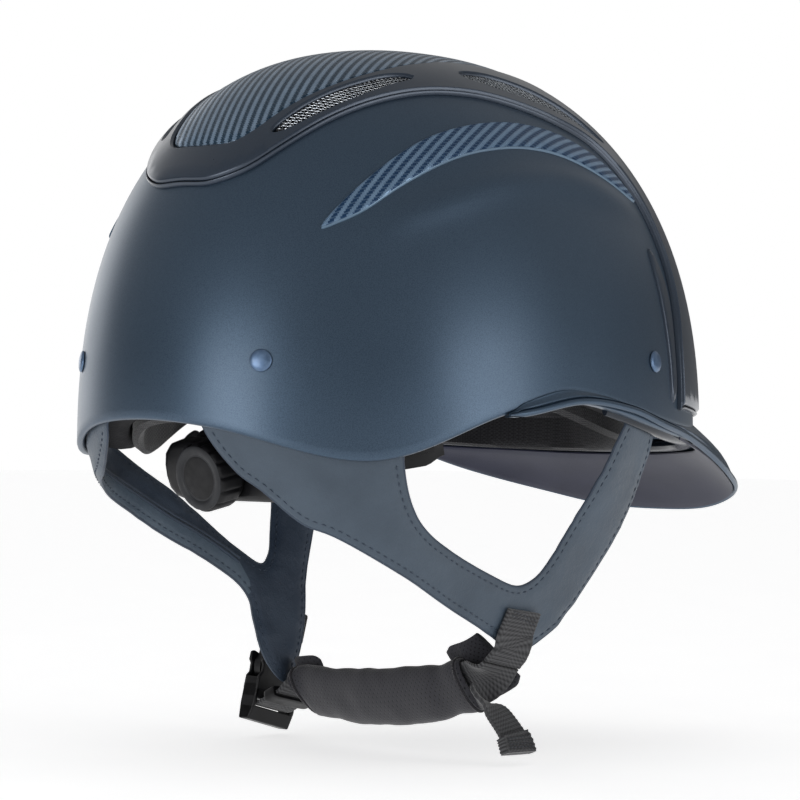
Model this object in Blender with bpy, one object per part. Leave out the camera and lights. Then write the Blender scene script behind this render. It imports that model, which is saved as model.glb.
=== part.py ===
"""Equestrian riding helmet: moulded shell, foam liner, leather harness, chin strap and dial fit.

Lengths are in millimetres and angles in degrees until add_solid() scales a mesh to metres.
The front is -Y, the wearer's left is +X, and the origin is the centre of the head opening.
"""

from math import atan, atan2, ceil, cos, degrees, hypot, pi, radians, sin

import bpy
from mathutils import Matrix, Vector
from mathutils.geometry import delaunay_2d_cdt

MM = 0.001

# Shell: a superellipsoid above z = 0, and a straight skirt below it
HALF_WIDTH = 109.5
FRONT_LENGTH = 143.5
REAR_LENGTH = 132.5
HEIGHT = 161.0
FRONT_PLAN_POWER = 2.3
REAR_PLAN_POWER = 2.1
DOME_POWER = 2.33
SHELL_THICKNESS = 3.0
# (azimuth from the front, height) along half of the shell's lower edge
RIM_KNOTS = [(0, 2), (50, 7), (90, 20.5), (109, 12), (136, -6), (165, 6.3), (180, 9)]

# Layers, as offsets from the shell's outer surface
PANEL_LOW, PANEL_HIGH = 0.8, 2.6
INLAY_LOW, INLAY_HIGH = 0.8, 1.9
VENT_LOW, VENT_HIGH = 0.7, 1.4
FOAM_OUTER, FOAM_OUTER_AT_RIM, FOAM_INNER = -4.2, -7.6, -21.0
PAD_OUTER, PAD_INNER = -22.0, -27.0
HARNESS_OUTER, HARNESS_INNER = -3.9, -5.7

# Outlines on the crown map: degrees from the crown to the wearer's left, and to the rear
FRAME_SIDE = [(66, -53), (58, -48.5), (50, -45.5), (44, -41), (38.5, -34), (35.5, -25), (36, -14),
              (35.3, -3), (32.5, 9), (28, 21), (23, 33), (18.5, 43), (14, 49.3), (7.5, 52.8), (0, 53.3)]
FRAME_FRONT_AZIMUTH = 51.2
FRAME_ABOVE_RIM = 9.0
CROWN_INLAY_SIDE = [(0, -54), (7, -49), (13, -38), (18, -22), (21.2, -6), (21.3, 8), (20.2, 16),
                    (19, 21.5), (17.2, 27), (15, 32.5), (12.8, 38), (10.6, 43), (7, 46), (0, 46.8)]
REAR_VENT = [(14.3, 41.8), (16.3, 41), (18.8, 37), (21.3, 31.5), (23.3, 25.5), (25.2, 17.5),
             (24, 17.2), (21.6, 20.5), (19.2, 26.5), (17, 32), (15.3, 37)]
FRONT_VENT = [(26.8, 4.5), (29.3, 3), (31.6, -3), (32.6, -10.5), (32.6, -18), (32.2, -26),
              (31.2, -28.5), (29, -24), (27.4, -17), (26.6, -9), (26.2, -2)]
SIDE_INLAY = [(33, 50.4), (34, 44), (35.6, 38.4), (37.3, 31.6), (39, 24.6), (41.2, 14.3), (42, 5),
              (41.8, -5), (40.6, -14.5), (39.5, -23), (39.2, -29), (40.3, -34.5), (42.5, -30),
              (44.3, -22), (46, -11), (46.8, -0.5), (46.5, 9), (45.3, 18), (43, 28.4), (41, 35.4),
              (38.8, 41.8), (36.3, 46.5)]
FRONT_BLADE = [(49.2, -35.8), (56, -39.7), (62.5, -44.2), (67.6, -48.2), (65, -50.2), (59.5, -47.4),
               (52.3, -43.8), (49.4, -40)]
VENT_DUCT_SCALE = 0.82
VENT_MESH_SCALE = 0.93

# Peak: (azimuth, reach beyond the shell, height of the edge) for half of it
PEAK_END = 108.0
PEAK_KNOTS = [(0, 37, -27), (10, 35.5, -25.5), (20, 30.5, -19), (30, 18, -10.6), (40, 7.5, -1), (50, 3.4, 5.4),
              (60, 2.8, 9.6), (72, 2.5, 15.4), (88, 2.3, 18.2), (108, 1.9, 12.6)]
PEAK_THICKNESS = 2.4
LINING_AZIMUTH = 38.0

# Harness: (azimuth, height) on a skirt that tapers inwards below the shell
HARNESS_TAPER = 0.36
HARNESS_TAPER_TOP = 10.0
HARNESS_EDGE = [(167, 16), (166.5, 4), (162, -10), (157, -18), (150, -30), (143, -35.5), (129, -50),
                (114, -64), (91, -79), (83, -82.5), (75, -80), (67, -71), (61, -56), (57.5, -41),
                (55, -25), (55, -5), (57, 11), (57, 40), (61, 44), (65, 40), (68, 15), (70, 0),
                (72, -15), (77, -36), (81, -48), (85, -54), (92, -56), (103, -51), (116, -42),
                (124, -33), (128, -22), (130, -6), (130, 12), (140, 20), (150, 38), (155.5, 44),
                (161, 38)]
# The left-hand one: narrower branches, and a tongue behind the buckle
LEFT_HARNESS_EDGE = [(167, 16), (166.5, 5), (162, -5), (155, -13), (146.5, -17), (132, -28), (118.5, -41),
                     (106, -51), (96, -60), (92, -68), (92, -78), (91.5, -90), (88, -99), (83, -103),
                     (78, -98), (73, -88), (69.5, -75), (67.5, -60), (64, -42), (61, -25), (58, -5),
                     (57, 11), (57, 40), (61, 44), (65, 40), (68, 15), (70.5, 0), (74, -17), (77, -36),
                     (80, -49), (84, -53.5), (91, -48), (99, -39), (106, -30), (113, -21), (120, -12.5),
                     (128, -2), (136, 10), (144, 22), (150, 38), (155.5, 44), (161, 38)]
HARNESS_SCALE = 1.9
REAR_RIVET = (155.5, 32.0)
FRONT_RIVET = (61.0, 35.0)
RIVET_HEAD, RIVET_SHANK, RIVET_HOLE, HARNESS_HOLE = 4.5, 1.8, 3.2, 3.9

# Chin strap: hangs in a plane tilted about X, from a pivot under the right-hand harness
PIVOT = Vector((-71.0, -1.5, -87.0))
STRAP_TILT = 15.0
STRAP_SLANT = -0.122
ACROSS = Vector((0.0, cos(radians(STRAP_TILT)), sin(radians(STRAP_TILT))))
DOWN = Vector((0.0, sin(radians(STRAP_TILT)), -cos(radians(STRAP_TILT))))
WEBBING_WIDTH, WEBBING_THICKNESS = 20.0, 1.8
TAIL_THICKNESS = 2.8
WEBBING_HALF_AZIMUTH = 7.0
PAD_TWIST = 50.0
PAD_WIDTH, PAD_DEPTH, PAD_SIDES = 26.0, 11.5, 16
PAD_SPAN = (-55.0, 57.0)
KEEPER_SPAN = (62.0, 69.5)
# (x, distance below the pivot, shift to the rear) along the strap's loose tail
TAIL_KNOTS = [(-62, 15, 3), (-65.3, 16.6, 1.8), (-69, 18.6, -1), (-73.5, 23.5, -5), (-77.5, 29, -8.5),
              (-80, 34.5, -10.5)]
# Side-release buckle: its middle on the strap's plane, and where its prongs turn
BUCKLE_REACH, BUCKLE_DROP = 80.5, 7.2
PRONG_ROOT = (9.0, 13.0)

# Dial adjuster: its own frame, tipped about X, with the racks' arc centre as the origin
ADJUSTER_CENTRE = Vector((0.0, 4.0, 6.4))
ADJUSTER_TIP = 12.0
RACK_INNER, RACK_OUTER = 76.6, 78.4
DIAL_RADIUS = 14.0

STEEL = ("rivet_metal", (0.18, 0.23, 0.30), 0.35, 0.9)
NAVY = ("shell_paint", (0.035, 0.060, 0.095), 0.35, 0.6)
FRAME = ("frame_paint", (0.040, 0.052, 0.075), 0.25, 0.3)
CARBON = ("carbon_inlay", (0.03, 0.11, 0.20), 0.3, 0.4)
WIRE = ("vent_wire", (0.45, 0.47, 0.50), 0.35, 1.0)
FOAM = ("foam_black", (0.02, 0.02, 0.022), 0.9, 0.0)
LINER = ("liner_fabric", (0.03, 0.03, 0.035), 0.95, 0.0)
SUEDE = ("suede_lining", (0.055, 0.056, 0.10), 0.95, 0.0)
LEATHER = ("harness_leather", (0.075, 0.105, 0.15), 0.55, 0.0)
WEBBING = ("webbing", (0.045, 0.045, 0.05), 0.85, 0.0)
SLEEVE = ("pad_mesh", (0.04, 0.038, 0.045), 0.95, 0.0)
PLASTIC = ("black_plastic", (0.015, 0.015, 0.017), 0.4, 0.0)


def material(spec):
    name, colour, roughness, metallic = spec
    found = bpy.data.materials.get(name)
    if found:
        return found
    made = bpy.data.materials.new(name)
    made.use_nodes = True
    shader = made.node_tree.nodes["Principled BSDF"]
    shader.inputs["Base Color"].default_value = (*colour, 1.0)
    shader.inputs["Roughness"].default_value = roughness
    shader.inputs["Metallic"].default_value = metallic
    return made


def add_solid(name, points, faces, spec, smooth=True):
    """One named closed mesh; points are in millimetres in the object's own frame."""
    mesh = bpy.data.meshes.new(name)
    mesh.from_pydata([tuple(Vector(point) * MM) for point in points], [], faces)
    mesh.update()
    mesh.materials.append(material(spec))
    if smooth:
        mesh.shade_smooth()
        mesh.set_sharp_from_angle(angle=radians(40))
    made = bpy.data.objects.new(name, mesh)
    bpy.context.collection.objects.link(made)
    return made


def interpolate(knots, at, column=1):
    """Smooth curve through (x, value, ...) knots, flat at both ends."""
    slopes = [0.0]
    for before, after in zip(knots, knots[2:]):
        slopes.append((after[column] - before[column]) / (after[0] - before[0]))
    slopes.append(0.0)
    for i, (start, end) in enumerate(zip(knots, knots[1:])):
        if at <= end[0] or i == len(knots) - 2:
            width = end[0] - start[0]
            t = min(max((at - start[0]) / width, 0.0), 1.0)
            rise = 3 * t * t - 2 * t**3
            return (start[column] * (1 - rise) + end[column] * rise
                    + width * (slopes[i] * (t**3 - 2 * t * t + t) + slopes[i + 1] * (t**3 - t * t)))


def spline(knots, step, closed=True):
    """Points about step apart on a smooth curve through the knots."""
    count = len(knots)
    result = []
    for i in range(count if closed else count - 1):
        around = [knots[(i + j) % count] if closed else knots[min(max(i + j, 0), count - 1)]
                  for j in (-1, 0, 1, 2)]
        a, b, c, d = (Vector(knot) for knot in around)
        parts = max(1, ceil((c - b).length / step))
        for k in range(parts):
            t = k / parts
            result.append(0.5 * (2 * b + (c - a) * t + (2 * a - 5 * b + 4 * c - d) * t * t
                                 + (3 * b - a - 3 * c + d) * t**3))
    if not closed:
        result.append(Vector(knots[-1]))
    return result


def inside(point, loop):
    found = False
    for a, b in zip(loop, loop[1:] + loop[:1]):
        if (a[1] > point[1]) != (b[1] > point[1]):
            if point[0] < (b[0] - a[0]) * (point[1] - a[1]) / (b[1] - a[1]) + a[0]:
                found = not found
    return found


def fill(outline, holes, step):
    """Triangles over a flat outline with holes, with inner points about step apart."""
    loops = [outline] + holes
    points = [Vector(point[:2]) for loop in loops for point in loop]
    edges = []
    first = 0
    for loop in loops:
        edges += [(first + i, first + (i + 1) % len(loop)) for i in range(len(loop))]
        first += len(loop)
    border = list(points)
    low = [min(point[axis] for point in outline) for axis in (0, 1)]
    high = [max(point[axis] for point in outline) for axis in (0, 1)]
    row_step = step * sin(radians(60))
    for row in range(ceil((high[1] - low[1]) / row_step)):
        for column in range(ceil((high[0] - low[0]) / step) + 1):
            point = Vector((low[0] + (column + 0.5 * (row % 2)) * step, low[1] + (row + 0.5) * row_step))
            if sum(inside(point, loop) for loop in loops) == 1:
                if all((point - other).length > 0.62 * step for other in border):
                    points.append(point)
    vertices, _, faces, *_ = delaunay_2d_cdt(points, edges, [], 0, 1e-6)
    kept = []
    for face in faces:
        middle = sum((vertices[i] for i in face), Vector((0, 0))) / len(face)
        if sum(inside(middle, loop) for loop in loops) == 1:
            kept.append(tuple(face))
    return vertices, kept


def add_skin(name, outline, holes, step, surface, low, high, spec):
    """A sheet between two offsets of a surface, over a flat outline with holes."""
    flat, faces = fill(outline, holes, step)
    used = sorted({i for face in faces for i in face})
    index = {old: new for new, old in enumerate(used)}
    faces = [tuple(index[i] for i in face) for face in faces]
    flat = [flat[i] for i in used]
    count = len(flat)
    level = (lambda value, point: value(point) if callable(value) else value)
    points = [surface(*point, level(high, point)) for point in flat]
    points += [surface(*point, level(low, point)) for point in flat]
    if facing(points, faces[0]) < 0:
        faces = [face[::-1] for face in faces]
    edges = {(a, b) for face in faces for a, b in zip(face, face[1:] + face[:1])}
    solid = list(faces) + [tuple(i + count for i in face[::-1]) for face in faces]
    solid += [(b, a, a + count, b + count) for a, b in edges if (b, a) not in edges]
    return add_solid(name, points, solid, spec)


def facing(points, face):
    """Positive where a face of three or more points looks away from the head's middle."""
    a, b, c = (Vector(points[i]) for i in face[:3])
    return (b - a).cross(c - a).dot((a + b + c) / 3 - Vector((0, 0, 20)))


def plan_radius(azimuth, offset):
    """Distance from the middle to the shell at z = 0, towards an azimuth in radians."""
    side, ahead = abs(sin(azimuth)), cos(azimuth)
    length = (FRONT_LENGTH if ahead > 0 else REAR_LENGTH) + offset
    power = FRONT_PLAN_POWER if ahead > 0 else REAR_PLAN_POWER
    return ((side / (HALF_WIDTH + offset))**power + (abs(ahead) / length)**power)**(-1 / power)


def dome(across, along, offset=0.0):
    """The shell's surface at a place on the crown map."""
    azimuth = atan2(across, -along)
    tilt = radians(hypot(across, along))
    lean = min(tilt, pi / 2)
    reach = (sin(lean)**DOME_POWER + cos(lean)**DOME_POWER)**(-1 / DOME_POWER)
    radius = plan_radius(azimuth, offset) * reach * sin(lean)
    height = (HEIGHT + offset) * reach * cos(lean) - HEIGHT * (tilt - lean)
    return Vector((radius * sin(azimuth), -radius * cos(azimuth), height))


def rim_height(azimuth):
    return interpolate(RIM_KNOTS, abs(azimuth))


def on_map(azimuth, height):
    """The crown map's place for an azimuth in degrees and a height in millimetres."""
    if height > 0:
        rise = min(height / HEIGHT, 1.0)
        tilt = degrees(atan((rise**-DOME_POWER - 1)**(1 / DOME_POWER)))
    else:
        tilt = 90 - degrees(height / HEIGHT)
    return tilt * sin(radians(azimuth)), -tilt * cos(radians(azimuth))


def turns(step, start=-180.0, end=180.0, closed=True):
    count = ceil((end - start) / step)
    return [start + (end - start) * i / count for i in range(count + (not closed))]


def rim_loop(above, step=6.0):
    return [Vector(on_map(azimuth, rim_height(azimuth) + above)) for azimuth in turns(step)]


def mirrored(loop):
    return [Vector((-point[0], point[1])) for point in loop][::-1]


def sided(loop, side):
    return loop if side > 0 else mirrored(loop)


def scaled(loop, factor):
    """A loop made smaller about its own middle."""
    middle = sum(loop, Vector((0, 0))) / len(loop)
    return [middle + (point - middle) * factor for point in loop]


def shrunk(loop, margin):
    """A loop pulled in by a margin in degrees."""
    result = []
    count = len(loop)
    for i, point in enumerate(loop):
        tangent = (loop[(i + 1) % count] - loop[i - 1]).normalized()
        inward = Vector((-tangent[1], tangent[0]))
        if not inside(point + inward * 0.05, loop):
            inward = -inward
        result.append(point + inward * margin)
    return result


def surface_frame(azimuth, height, offset=0.0):
    """A matrix with its origin on the shell and its z axis along the outward normal."""
    across, along = on_map(azimuth, height)
    origin = dome(across, along, offset)
    sideways = dome(*on_map(azimuth + 0.5, height), offset) - origin
    upward = dome(*on_map(azimuth, height + 0.5), offset) - origin
    normal = sideways.cross(upward).normalized()
    first = sideways.normalized()
    second = normal.cross(first)
    rotation = Matrix((first, second, normal)).transposed().to_4x4()
    return Matrix.Translation(origin) @ rotation


def hole_on_map(azimuth, height, radius, sides=8):
    """A round hole through the shell, as a loop on the crown map."""
    centre = Vector(on_map(azimuth, height))
    frame = surface_frame(azimuth, height)
    step = 0.2
    first = (dome(centre[0] + step, centre[1]) - frame.translation) / step
    second = (dome(centre[0], centre[1] + step) - frame.translation) / step
    axis_a, axis_b = frame.col[0].to_3d(), frame.col[1].to_3d()
    jacobian = Matrix(((first.dot(axis_a), second.dot(axis_a)), (first.dot(axis_b), second.dot(axis_b))))
    inverse = jacobian.inverted()
    return [centre + inverse @ Vector((radius * cos(2 * pi * i / sides), radius * sin(2 * pi * i / sides)))
            for i in range(sides)]


def add_turned(name, profile, sides, spec, place=None):
    """A solid of revolution about z from (radius, height) points, outside top to bottom.

    A profile that starts and ends at radius 0 closes on the axis; any other closes on itself.
    """
    points, faces, rings = [], [], []
    for radius, height in profile:
        if radius == 0:
            rings.append([len(points)])
            points.append(Vector((0, 0, height)))
        else:
            rings.append(list(range(len(points), len(points) + sides)))
            points += [Vector((radius * cos(2 * pi * i / sides), radius * sin(2 * pi * i / sides), height))
                       for i in range(sides)]
    pairs = list(zip(rings, rings[1:]))
    if profile[0][0] != 0:
        pairs.append((rings[-1], rings[0]))
    for upper, lower in pairs:
        for i in range(sides):
            j = (i + 1) % sides
            if len(upper) == 1:
                faces.append((upper[0], lower[i], lower[j]))
            elif len(lower) == 1:
                faces.append((upper[i], lower[0], upper[j]))
            else:
                faces.append((upper[i], lower[i], lower[j], upper[j]))
    if place:
        points = [place @ point for point in points]
    return add_solid(name, points, faces, spec)


def add_loft(name, sections, spec, closed=False, smooth=True):
    """A solid through equal-length sections of points, capped at both ends unless closed."""
    size = len(sections[0])
    points = [point for section in sections for point in section]
    faces = []
    for i in range(len(sections) if closed else len(sections) - 1):
        first, second = i * size, (i + 1) % len(sections) * size
        for j in range(size):
            k = (j + 1) % size
            faces.append((first + j, first + k, second + k, second + j))
    if not closed:
        faces.append(tuple(range(size))[::-1])
        faces.append(tuple(range((len(sections) - 1) * size, len(sections) * size)))
    if volume(points, faces) < 0:
        faces = [face[::-1] for face in faces]
    return add_solid(name, points, faces, spec, smooth)


def volume(points, faces):
    total = 0.0
    for face in faces:
        for i in range(1, len(face) - 1):
            total += Vector(points[face[0]]).dot(Vector(points[face[i]]).cross(Vector(points[face[i + 1]])))
    return total / 6


def add_tube(name, outer, inner, spec):
    """A sleeve: outer sections around inner sections, open at both ends."""
    size_a, size_b = len(outer[0]), len(inner[0])
    points = [point for section in outer for point in section]
    base = len(points)
    points += [point for section in inner for point in section]
    faces = []
    for i in range(len(outer) - 1):
        for j in range(size_a):
            k = (j + 1) % size_a
            faces.append((i * size_a + j, i * size_a + k, (i + 1) * size_a + k, (i + 1) * size_a + j))
        for j in range(size_b):
            k = (j + 1) % size_b
            start, end = base + i * size_b, base + (i + 1) * size_b
            faces.append((start + k, start + j, end + j, end + k))
    last = len(outer) - 1
    for start_a, start_b, flip in ((0, base, False), (last * size_a, base + last * size_b, True)):
        for j in range(size_a):
            k = (j + 1) % size_a
            face = (start_a + k, start_a + j, start_b + j, start_b + k)
            faces.append(face[::-1] if flip else face)
    if volume(points, faces) < 0:
        faces = [face[::-1] for face in faces]
    return add_solid(name, points, faces, spec)


def add_box(name, frame, low, high, spec):
    """A box in a frame's own axes."""
    corners = [(x, y) for x, y in ((0, 0), (1, 0), (1, 1), (0, 1))]
    ends = (low, high)
    sections = [[frame @ Vector((ends[x][0], ends[y][1], height)) for x, y in corners]
                for height in (low[2], high[2])]
    return add_loft(name, sections, spec, smooth=False)


def cut(target, cutter):
    """Subtract a cutter that stays as a wire guide."""
    cutter.hide_render = True
    cutter.display_type = "WIRE"
    modifier = target.modifiers.new("cut", "BOOLEAN")
    modifier.operation = "DIFFERENCE"
    modifier.object = cutter


def join(target, other):
    """Add a solid that overlaps the target; the other stays as a wire guide."""
    other.hide_render = True
    other.display_type = "WIRE"
    modifier = target.modifiers.new("join", "BOOLEAN")
    modifier.operation = "UNION"
    modifier.object = other


def vent_loops(side):
    return [spline(sided([Vector(point) for point in vent], side), 5.0) for vent in (REAR_VENT, FRONT_VENT)]


def frame_outline():
    """Half from the front's middle, along the peak and up the side to the rear, then mirrored."""
    bottom = [Vector(on_map(azimuth, rim_height(azimuth) + FRAME_ABOVE_RIM))
              for azimuth in turns(7.5, 0, FRAME_FRONT_AZIMUTH, closed=False)][:-1]
    side = spline([Vector(point) for point in FRAME_SIDE], 5.0, closed=False)
    half = bottom + side
    return half + mirrored(half)[1:-1]


def crown_inlay_outline():
    half = spline([Vector(point) for point in CROWN_INLAY_SIDE], 5.0, closed=False)
    return half + mirrored(half)[1:-1]


def foam_outer(point):
    """The foam steps inwards near the rim, where the harness lies between it and the shell."""
    tilt = hypot(*point)
    share = min(max((tilt - 60) / 8, 0), 1)
    return FOAM_OUTER + (FOAM_OUTER_AT_RIM - FOAM_OUTER) * share


def build_shell():
    rivet_holes = [hole_on_map(side * azimuth, height, RIVET_HOLE)
                   for side in (-1, 1) for azimuth, height in (REAR_RIVET, FRONT_RIVET)]
    vents = [scaled(loop, VENT_DUCT_SCALE) for side in (-1, 1) for loop in vent_loops(side)]
    add_skin("outer_shell", rim_loop(0), rivet_holes + vents, 8.0, dome, -SHELL_THICKNESS, 0, NAVY)
    add_skin("impact_liner", rim_loop(2.5), vents, 8.5, dome, FOAM_INNER, foam_outer, FOAM)


def build_panels():
    vents = [loop for side in (-1, 1) for loop in vent_loops(side)]
    inlay = crown_inlay_outline()
    add_skin("top_frame", frame_outline(), [inlay] + vents, 6.0, dome, PANEL_LOW, PANEL_HIGH, FRAME)
    add_skin("crown_inlay", shrunk(inlay, 0.25), [], 5.0, dome, INLAY_LOW, INLAY_HIGH, CARBON)
    for side, label in ((1, "left"), (-1, "right")):
        for loop, end in zip(vent_loops(side), ("rear", "front")):
            mesh = scaled(loop, VENT_MESH_SCALE)
            add_skin(f"vent_mesh_{end}_{label}", mesh, [], 6.0, dome, VENT_LOW, VENT_HIGH, WIRE)
        inlay = spline(sided([Vector(point) for point in SIDE_INLAY], side), 6.0)
        add_skin(f"side_inlay_{label}", inlay, [], 6.0, dome, INLAY_LOW, INLAY_HIGH, CARBON)
        blade = spline(sided([Vector(point) for point in FRONT_BLADE], side), 6.0)
        add_skin(f"front_blade_{label}", blade, [], 6.0, dome, INLAY_LOW, INLAY_HIGH, FRAME)


def out_from_shell(azimuth, reach, height):
    """A place at a distance beyond the shell's outer surface, at a height near the rim."""
    radius = plan_radius(radians(azimuth), 0.0) + reach
    return Vector((radius * sin(radians(azimuth)), -radius * cos(radians(azimuth)), height))


def peak_section(azimuth):
    reach = interpolate(PEAK_KNOTS, abs(azimuth), 1)
    edge = interpolate(PEAK_KNOTS, abs(azimuth), 2)
    rim = rim_height(azimuth)
    top = rim + min(6.0, 1.5 + reach * 0.25)
    half = PEAK_THICKNESS / 2
    middle = (top + edge + half) / 2 + 0.07 * reach
    profile = [(0.7, top), (reach * 0.55, middle), (reach - 0.6, edge + half), (reach, edge),
               (reach - 0.6, edge - half), (reach * 0.5, (rim + edge) / 2 - PEAK_THICKNESS + 0.07 * reach),
               (-SHELL_THICKNESS, rim - 0.5 - PEAK_THICKNESS), (-SHELL_THICKNESS, rim - 0.5),
               (0.7, rim - 0.5)]
    return [out_from_shell(azimuth, *point) for point in profile]


def lining_section(azimuth):
    reach = interpolate(PEAK_KNOTS, abs(azimuth), 1)
    edge = interpolate(PEAK_KNOTS, abs(azimuth), 2)
    rim = rim_height(azimuth)
    start, end = 2.0, reach - 3.0
    low_at = (lambda out: rim - 0.5 - PEAK_THICKNESS + (edge - rim + 0.5) * (out + 3) / (reach + 3))
    sag = 0.055 * reach
    profile = []
    for out in (start, (start + end) / 2, end):
        profile.append((out, low_at(out) - 0.5))
    for out in (end, (start + end) / 2, start):
        profile.append((out, low_at(out) - 1.3))
    bulge = (0, sag, 0, 0, sag, 0)
    return [out_from_shell(azimuth, out, height + rise) for (out, height), rise in zip(profile, bulge)]


def build_peak():
    add_loft("peak", [peak_section(a) for a in turns(6.0, -PEAK_END, PEAK_END, closed=False)], NAVY)
    sections = [lining_section(a) for a in turns(6.0, -LINING_AZIMUTH, LINING_AZIMUTH, closed=False)]
    add_loft("peak_lining", sections, SUEDE)


def build_linings():
    def headband(azimuth):
        low = rim_height(azimuth) - 5 * max(0, cos(radians(azimuth) * 0.75))
        radial = [(PAD_OUTER, low + 2), (PAD_OUTER, 34), (PAD_INNER + 2, 37), (PAD_INNER, 30),
                  (PAD_INNER, low + 4), (PAD_INNER + 2, low)]
        result = []
        for offset, height in radial:
            result.append(dome(*on_map(azimuth, height), offset))
        return result
    add_loft("comfort_headband", [headband(a) for a in turns(8.0)], LINER, closed=True)
    flat = HEIGHT + PAD_INNER - 9.0

    def crown(across, along, level):
        point = dome(across, along, PAD_OUTER)
        return point if level else Vector((point[0] * 0.92, point[1] * 0.92, flat))
    outline = [Vector((24 * sin(radians(a)), -30 * cos(radians(a)))) for a in turns(15.0)]
    add_skin("crown_pad", outline, [], 9.0, crown, 0, 1, LINER)


def skirt(along, height, offset):
    """The harness's surface: inside the shell, then tapering inwards below it."""
    azimuth = along / HARNESS_SCALE
    top = min(rim_height(azimuth), HARNESS_TAPER_TOP)
    drop = max(0.0, top - height)
    if height > 0:
        inner = dome(*on_map(azimuth, height), offset)
        radius = hypot(inner[0], inner[1]) - HARNESS_TAPER * drop
    else:
        radius = plan_radius(radians(azimuth), offset) - HARNESS_TAPER * drop
    return Vector((radius * sin(radians(azimuth)), -radius * cos(radians(azimuth)), height))


def harness_outline(side):
    knots = LEFT_HARNESS_EDGE if side > 0 else HARNESS_EDGE
    return [Vector((side * azimuth * HARNESS_SCALE, height)) for azimuth, height in knots]


def build_harness():
    for side, label in ((1, "left"), (-1, "right")):
        outline = spline(harness_outline(side), 8.0)
        holes = []
        for azimuth, height in (REAR_RIVET, FRONT_RIVET):
            centre = Vector((side * azimuth * HARNESS_SCALE, height))
            holes.append([centre + HARNESS_HOLE * Vector((cos(pi * i / 4), sin(pi * i / 4))) for i in range(8)])
        add_skin(f"harness_{label}", outline, holes, 9.0, skirt, HARNESS_INNER, HARNESS_OUTER, LEATHER)
        for (azimuth, height), end in ((REAR_RIVET, "rear"), (FRONT_RIVET, "front")):
            place = surface_frame(side * azimuth, height)
            head = [(0, 2.3), (2.4, 2.0), (3.9, 1.2), (RIVET_HEAD, 0.35), (RIVET_SHANK, 0.35),
                    (RIVET_SHANK, -6.9), (0, -6.9)]
            add_turned(f"rivet_{end}_{label}", head, 14, STEEL, place)
            washer = [(RIVET_SHANK + 0.3, -6.3), (5.0, -6.3), (5.0, -6.9), (RIVET_SHANK + 0.3, -6.9)]
            add_turned(f"rivet_washer_{end}_{label}", washer, 12, STEEL, place)


def hanging(x, drop, rearward=0.0):
    """A place near the chin strap's line: x, the distance below the pivot, and a shift to the rear."""
    return Vector((x, PIVOT.y, PIVOT.z)) + DOWN * drop + ACROSS * (STRAP_SLANT * (x - PIVOT.x) + rearward)


def ribbon_sections(path, twists, width, thickness):
    """Rectangles across a path; a twist turns the width from ACROSS towards down, in degrees."""
    sections = []
    for i, point in enumerate(path):
        tangent = (path[min(i + 1, len(path) - 1)] - path[max(i - 1, 0)]).normalized()
        flat = (ACROSS - tangent * ACROSS.dot(tangent)).normalized()
        wide = Matrix.Rotation(radians(twists[i]), 3, tangent) @ flat
        normal = tangent.cross(wide)
        a, b = wide * width / 2, normal * thickness / 2
        sections.append([point - a - b, point + a - b, point + a + b, point - a + b])
    return sections


def oval(path, twists, width, thickness, sides):
    sections = []
    for (low_a, high_a, _, _), point in zip(ribbon_sections(path, twists, 2.0, 0.0), path):
        wide = (high_a - low_a).normalized()
        sections.append((point, wide))
    result = []
    for i, (point, wide) in enumerate(sections):
        tangent = (path[min(i + 1, len(path) - 1)] - path[max(i - 1, 0)]).normalized()
        normal = tangent.cross(wide)
        result.append([point + wide * (width / 2 * cos(2 * pi * j / sides))
                       + normal * (thickness / 2 * sin(2 * pi * j / sides)) for j in range(sides)])
    return result


def strap_line():
    """The chin strap's middle line and twist, from the pivot to the buckle."""
    knots = [(-69.7, 1.2), (-67, 4), (-61.5, 6.8), (-55, 9), (-40, 12.5), (-20, 15.3), (0, 17),
             (20, 17.4), (38, 16.8), (50, 16), (58, 17), (64, 19.2), (70, 21.8), (75.5, 24.1), (81, 24.3)]
    path = spline([hanging(*knot) for knot in knots], 4.5, closed=False)
    twists = []
    for point in path:
        right = min(max((point.x + 70) / 14, 0), 1)
        left = min(max((63 - point.x) / 14, 0), 1)
        share = min(right, left)
        twists.append(PAD_TWIST * (3 * share**2 - 2 * share**3))
    return path, twists


def between(path, sections, start, end):
    """The sections whose middle lies between two x values."""
    return [section for point, section in zip(path, sections) if start <= point.x <= end]


def squared(section_path, twists, width, thickness, sides):
    """Rectangular rings with as many points as an oval of the same number of sides."""
    result = []
    for section, point in zip(ribbon_sections(section_path, twists, width, thickness), section_path):
        wide, high = (section[1] - section[0]) / 2, (section[3] - section[0]) / 2
        loop = []
        for j in range(sides):
            a, b = cos(2 * pi * j / sides), sin(2 * pi * j / sides)
            scale = 1 / max(abs(a), abs(b))
            loop.append(point + (wide * a + high * b) * scale)
        result.append(loop)
    return result


def sewn_section(side, azimuth, height):
    """A webbing's section where it lies on the outside of a harness, in ribbon_sections' order."""
    gap = HARNESS_OUTER + 1.1
    ends = []
    for end in (-1, 1):
        along = side * (azimuth + end * WEBBING_HALF_AZIMUTH) * HARNESS_SCALE
        level = height + end * WEBBING_WIDTH / 2 * sin(radians(STRAP_TILT))
        ends.append([skirt(along, level, gap + out) for out in (0, WEBBING_THICKNESS)])
    (front_in, front_out), (rear_in, rear_out) = ends
    if side > 0:
        return [front_in, rear_in, rear_out, front_out]
    return [front_out, rear_out, rear_in, front_in]


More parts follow.
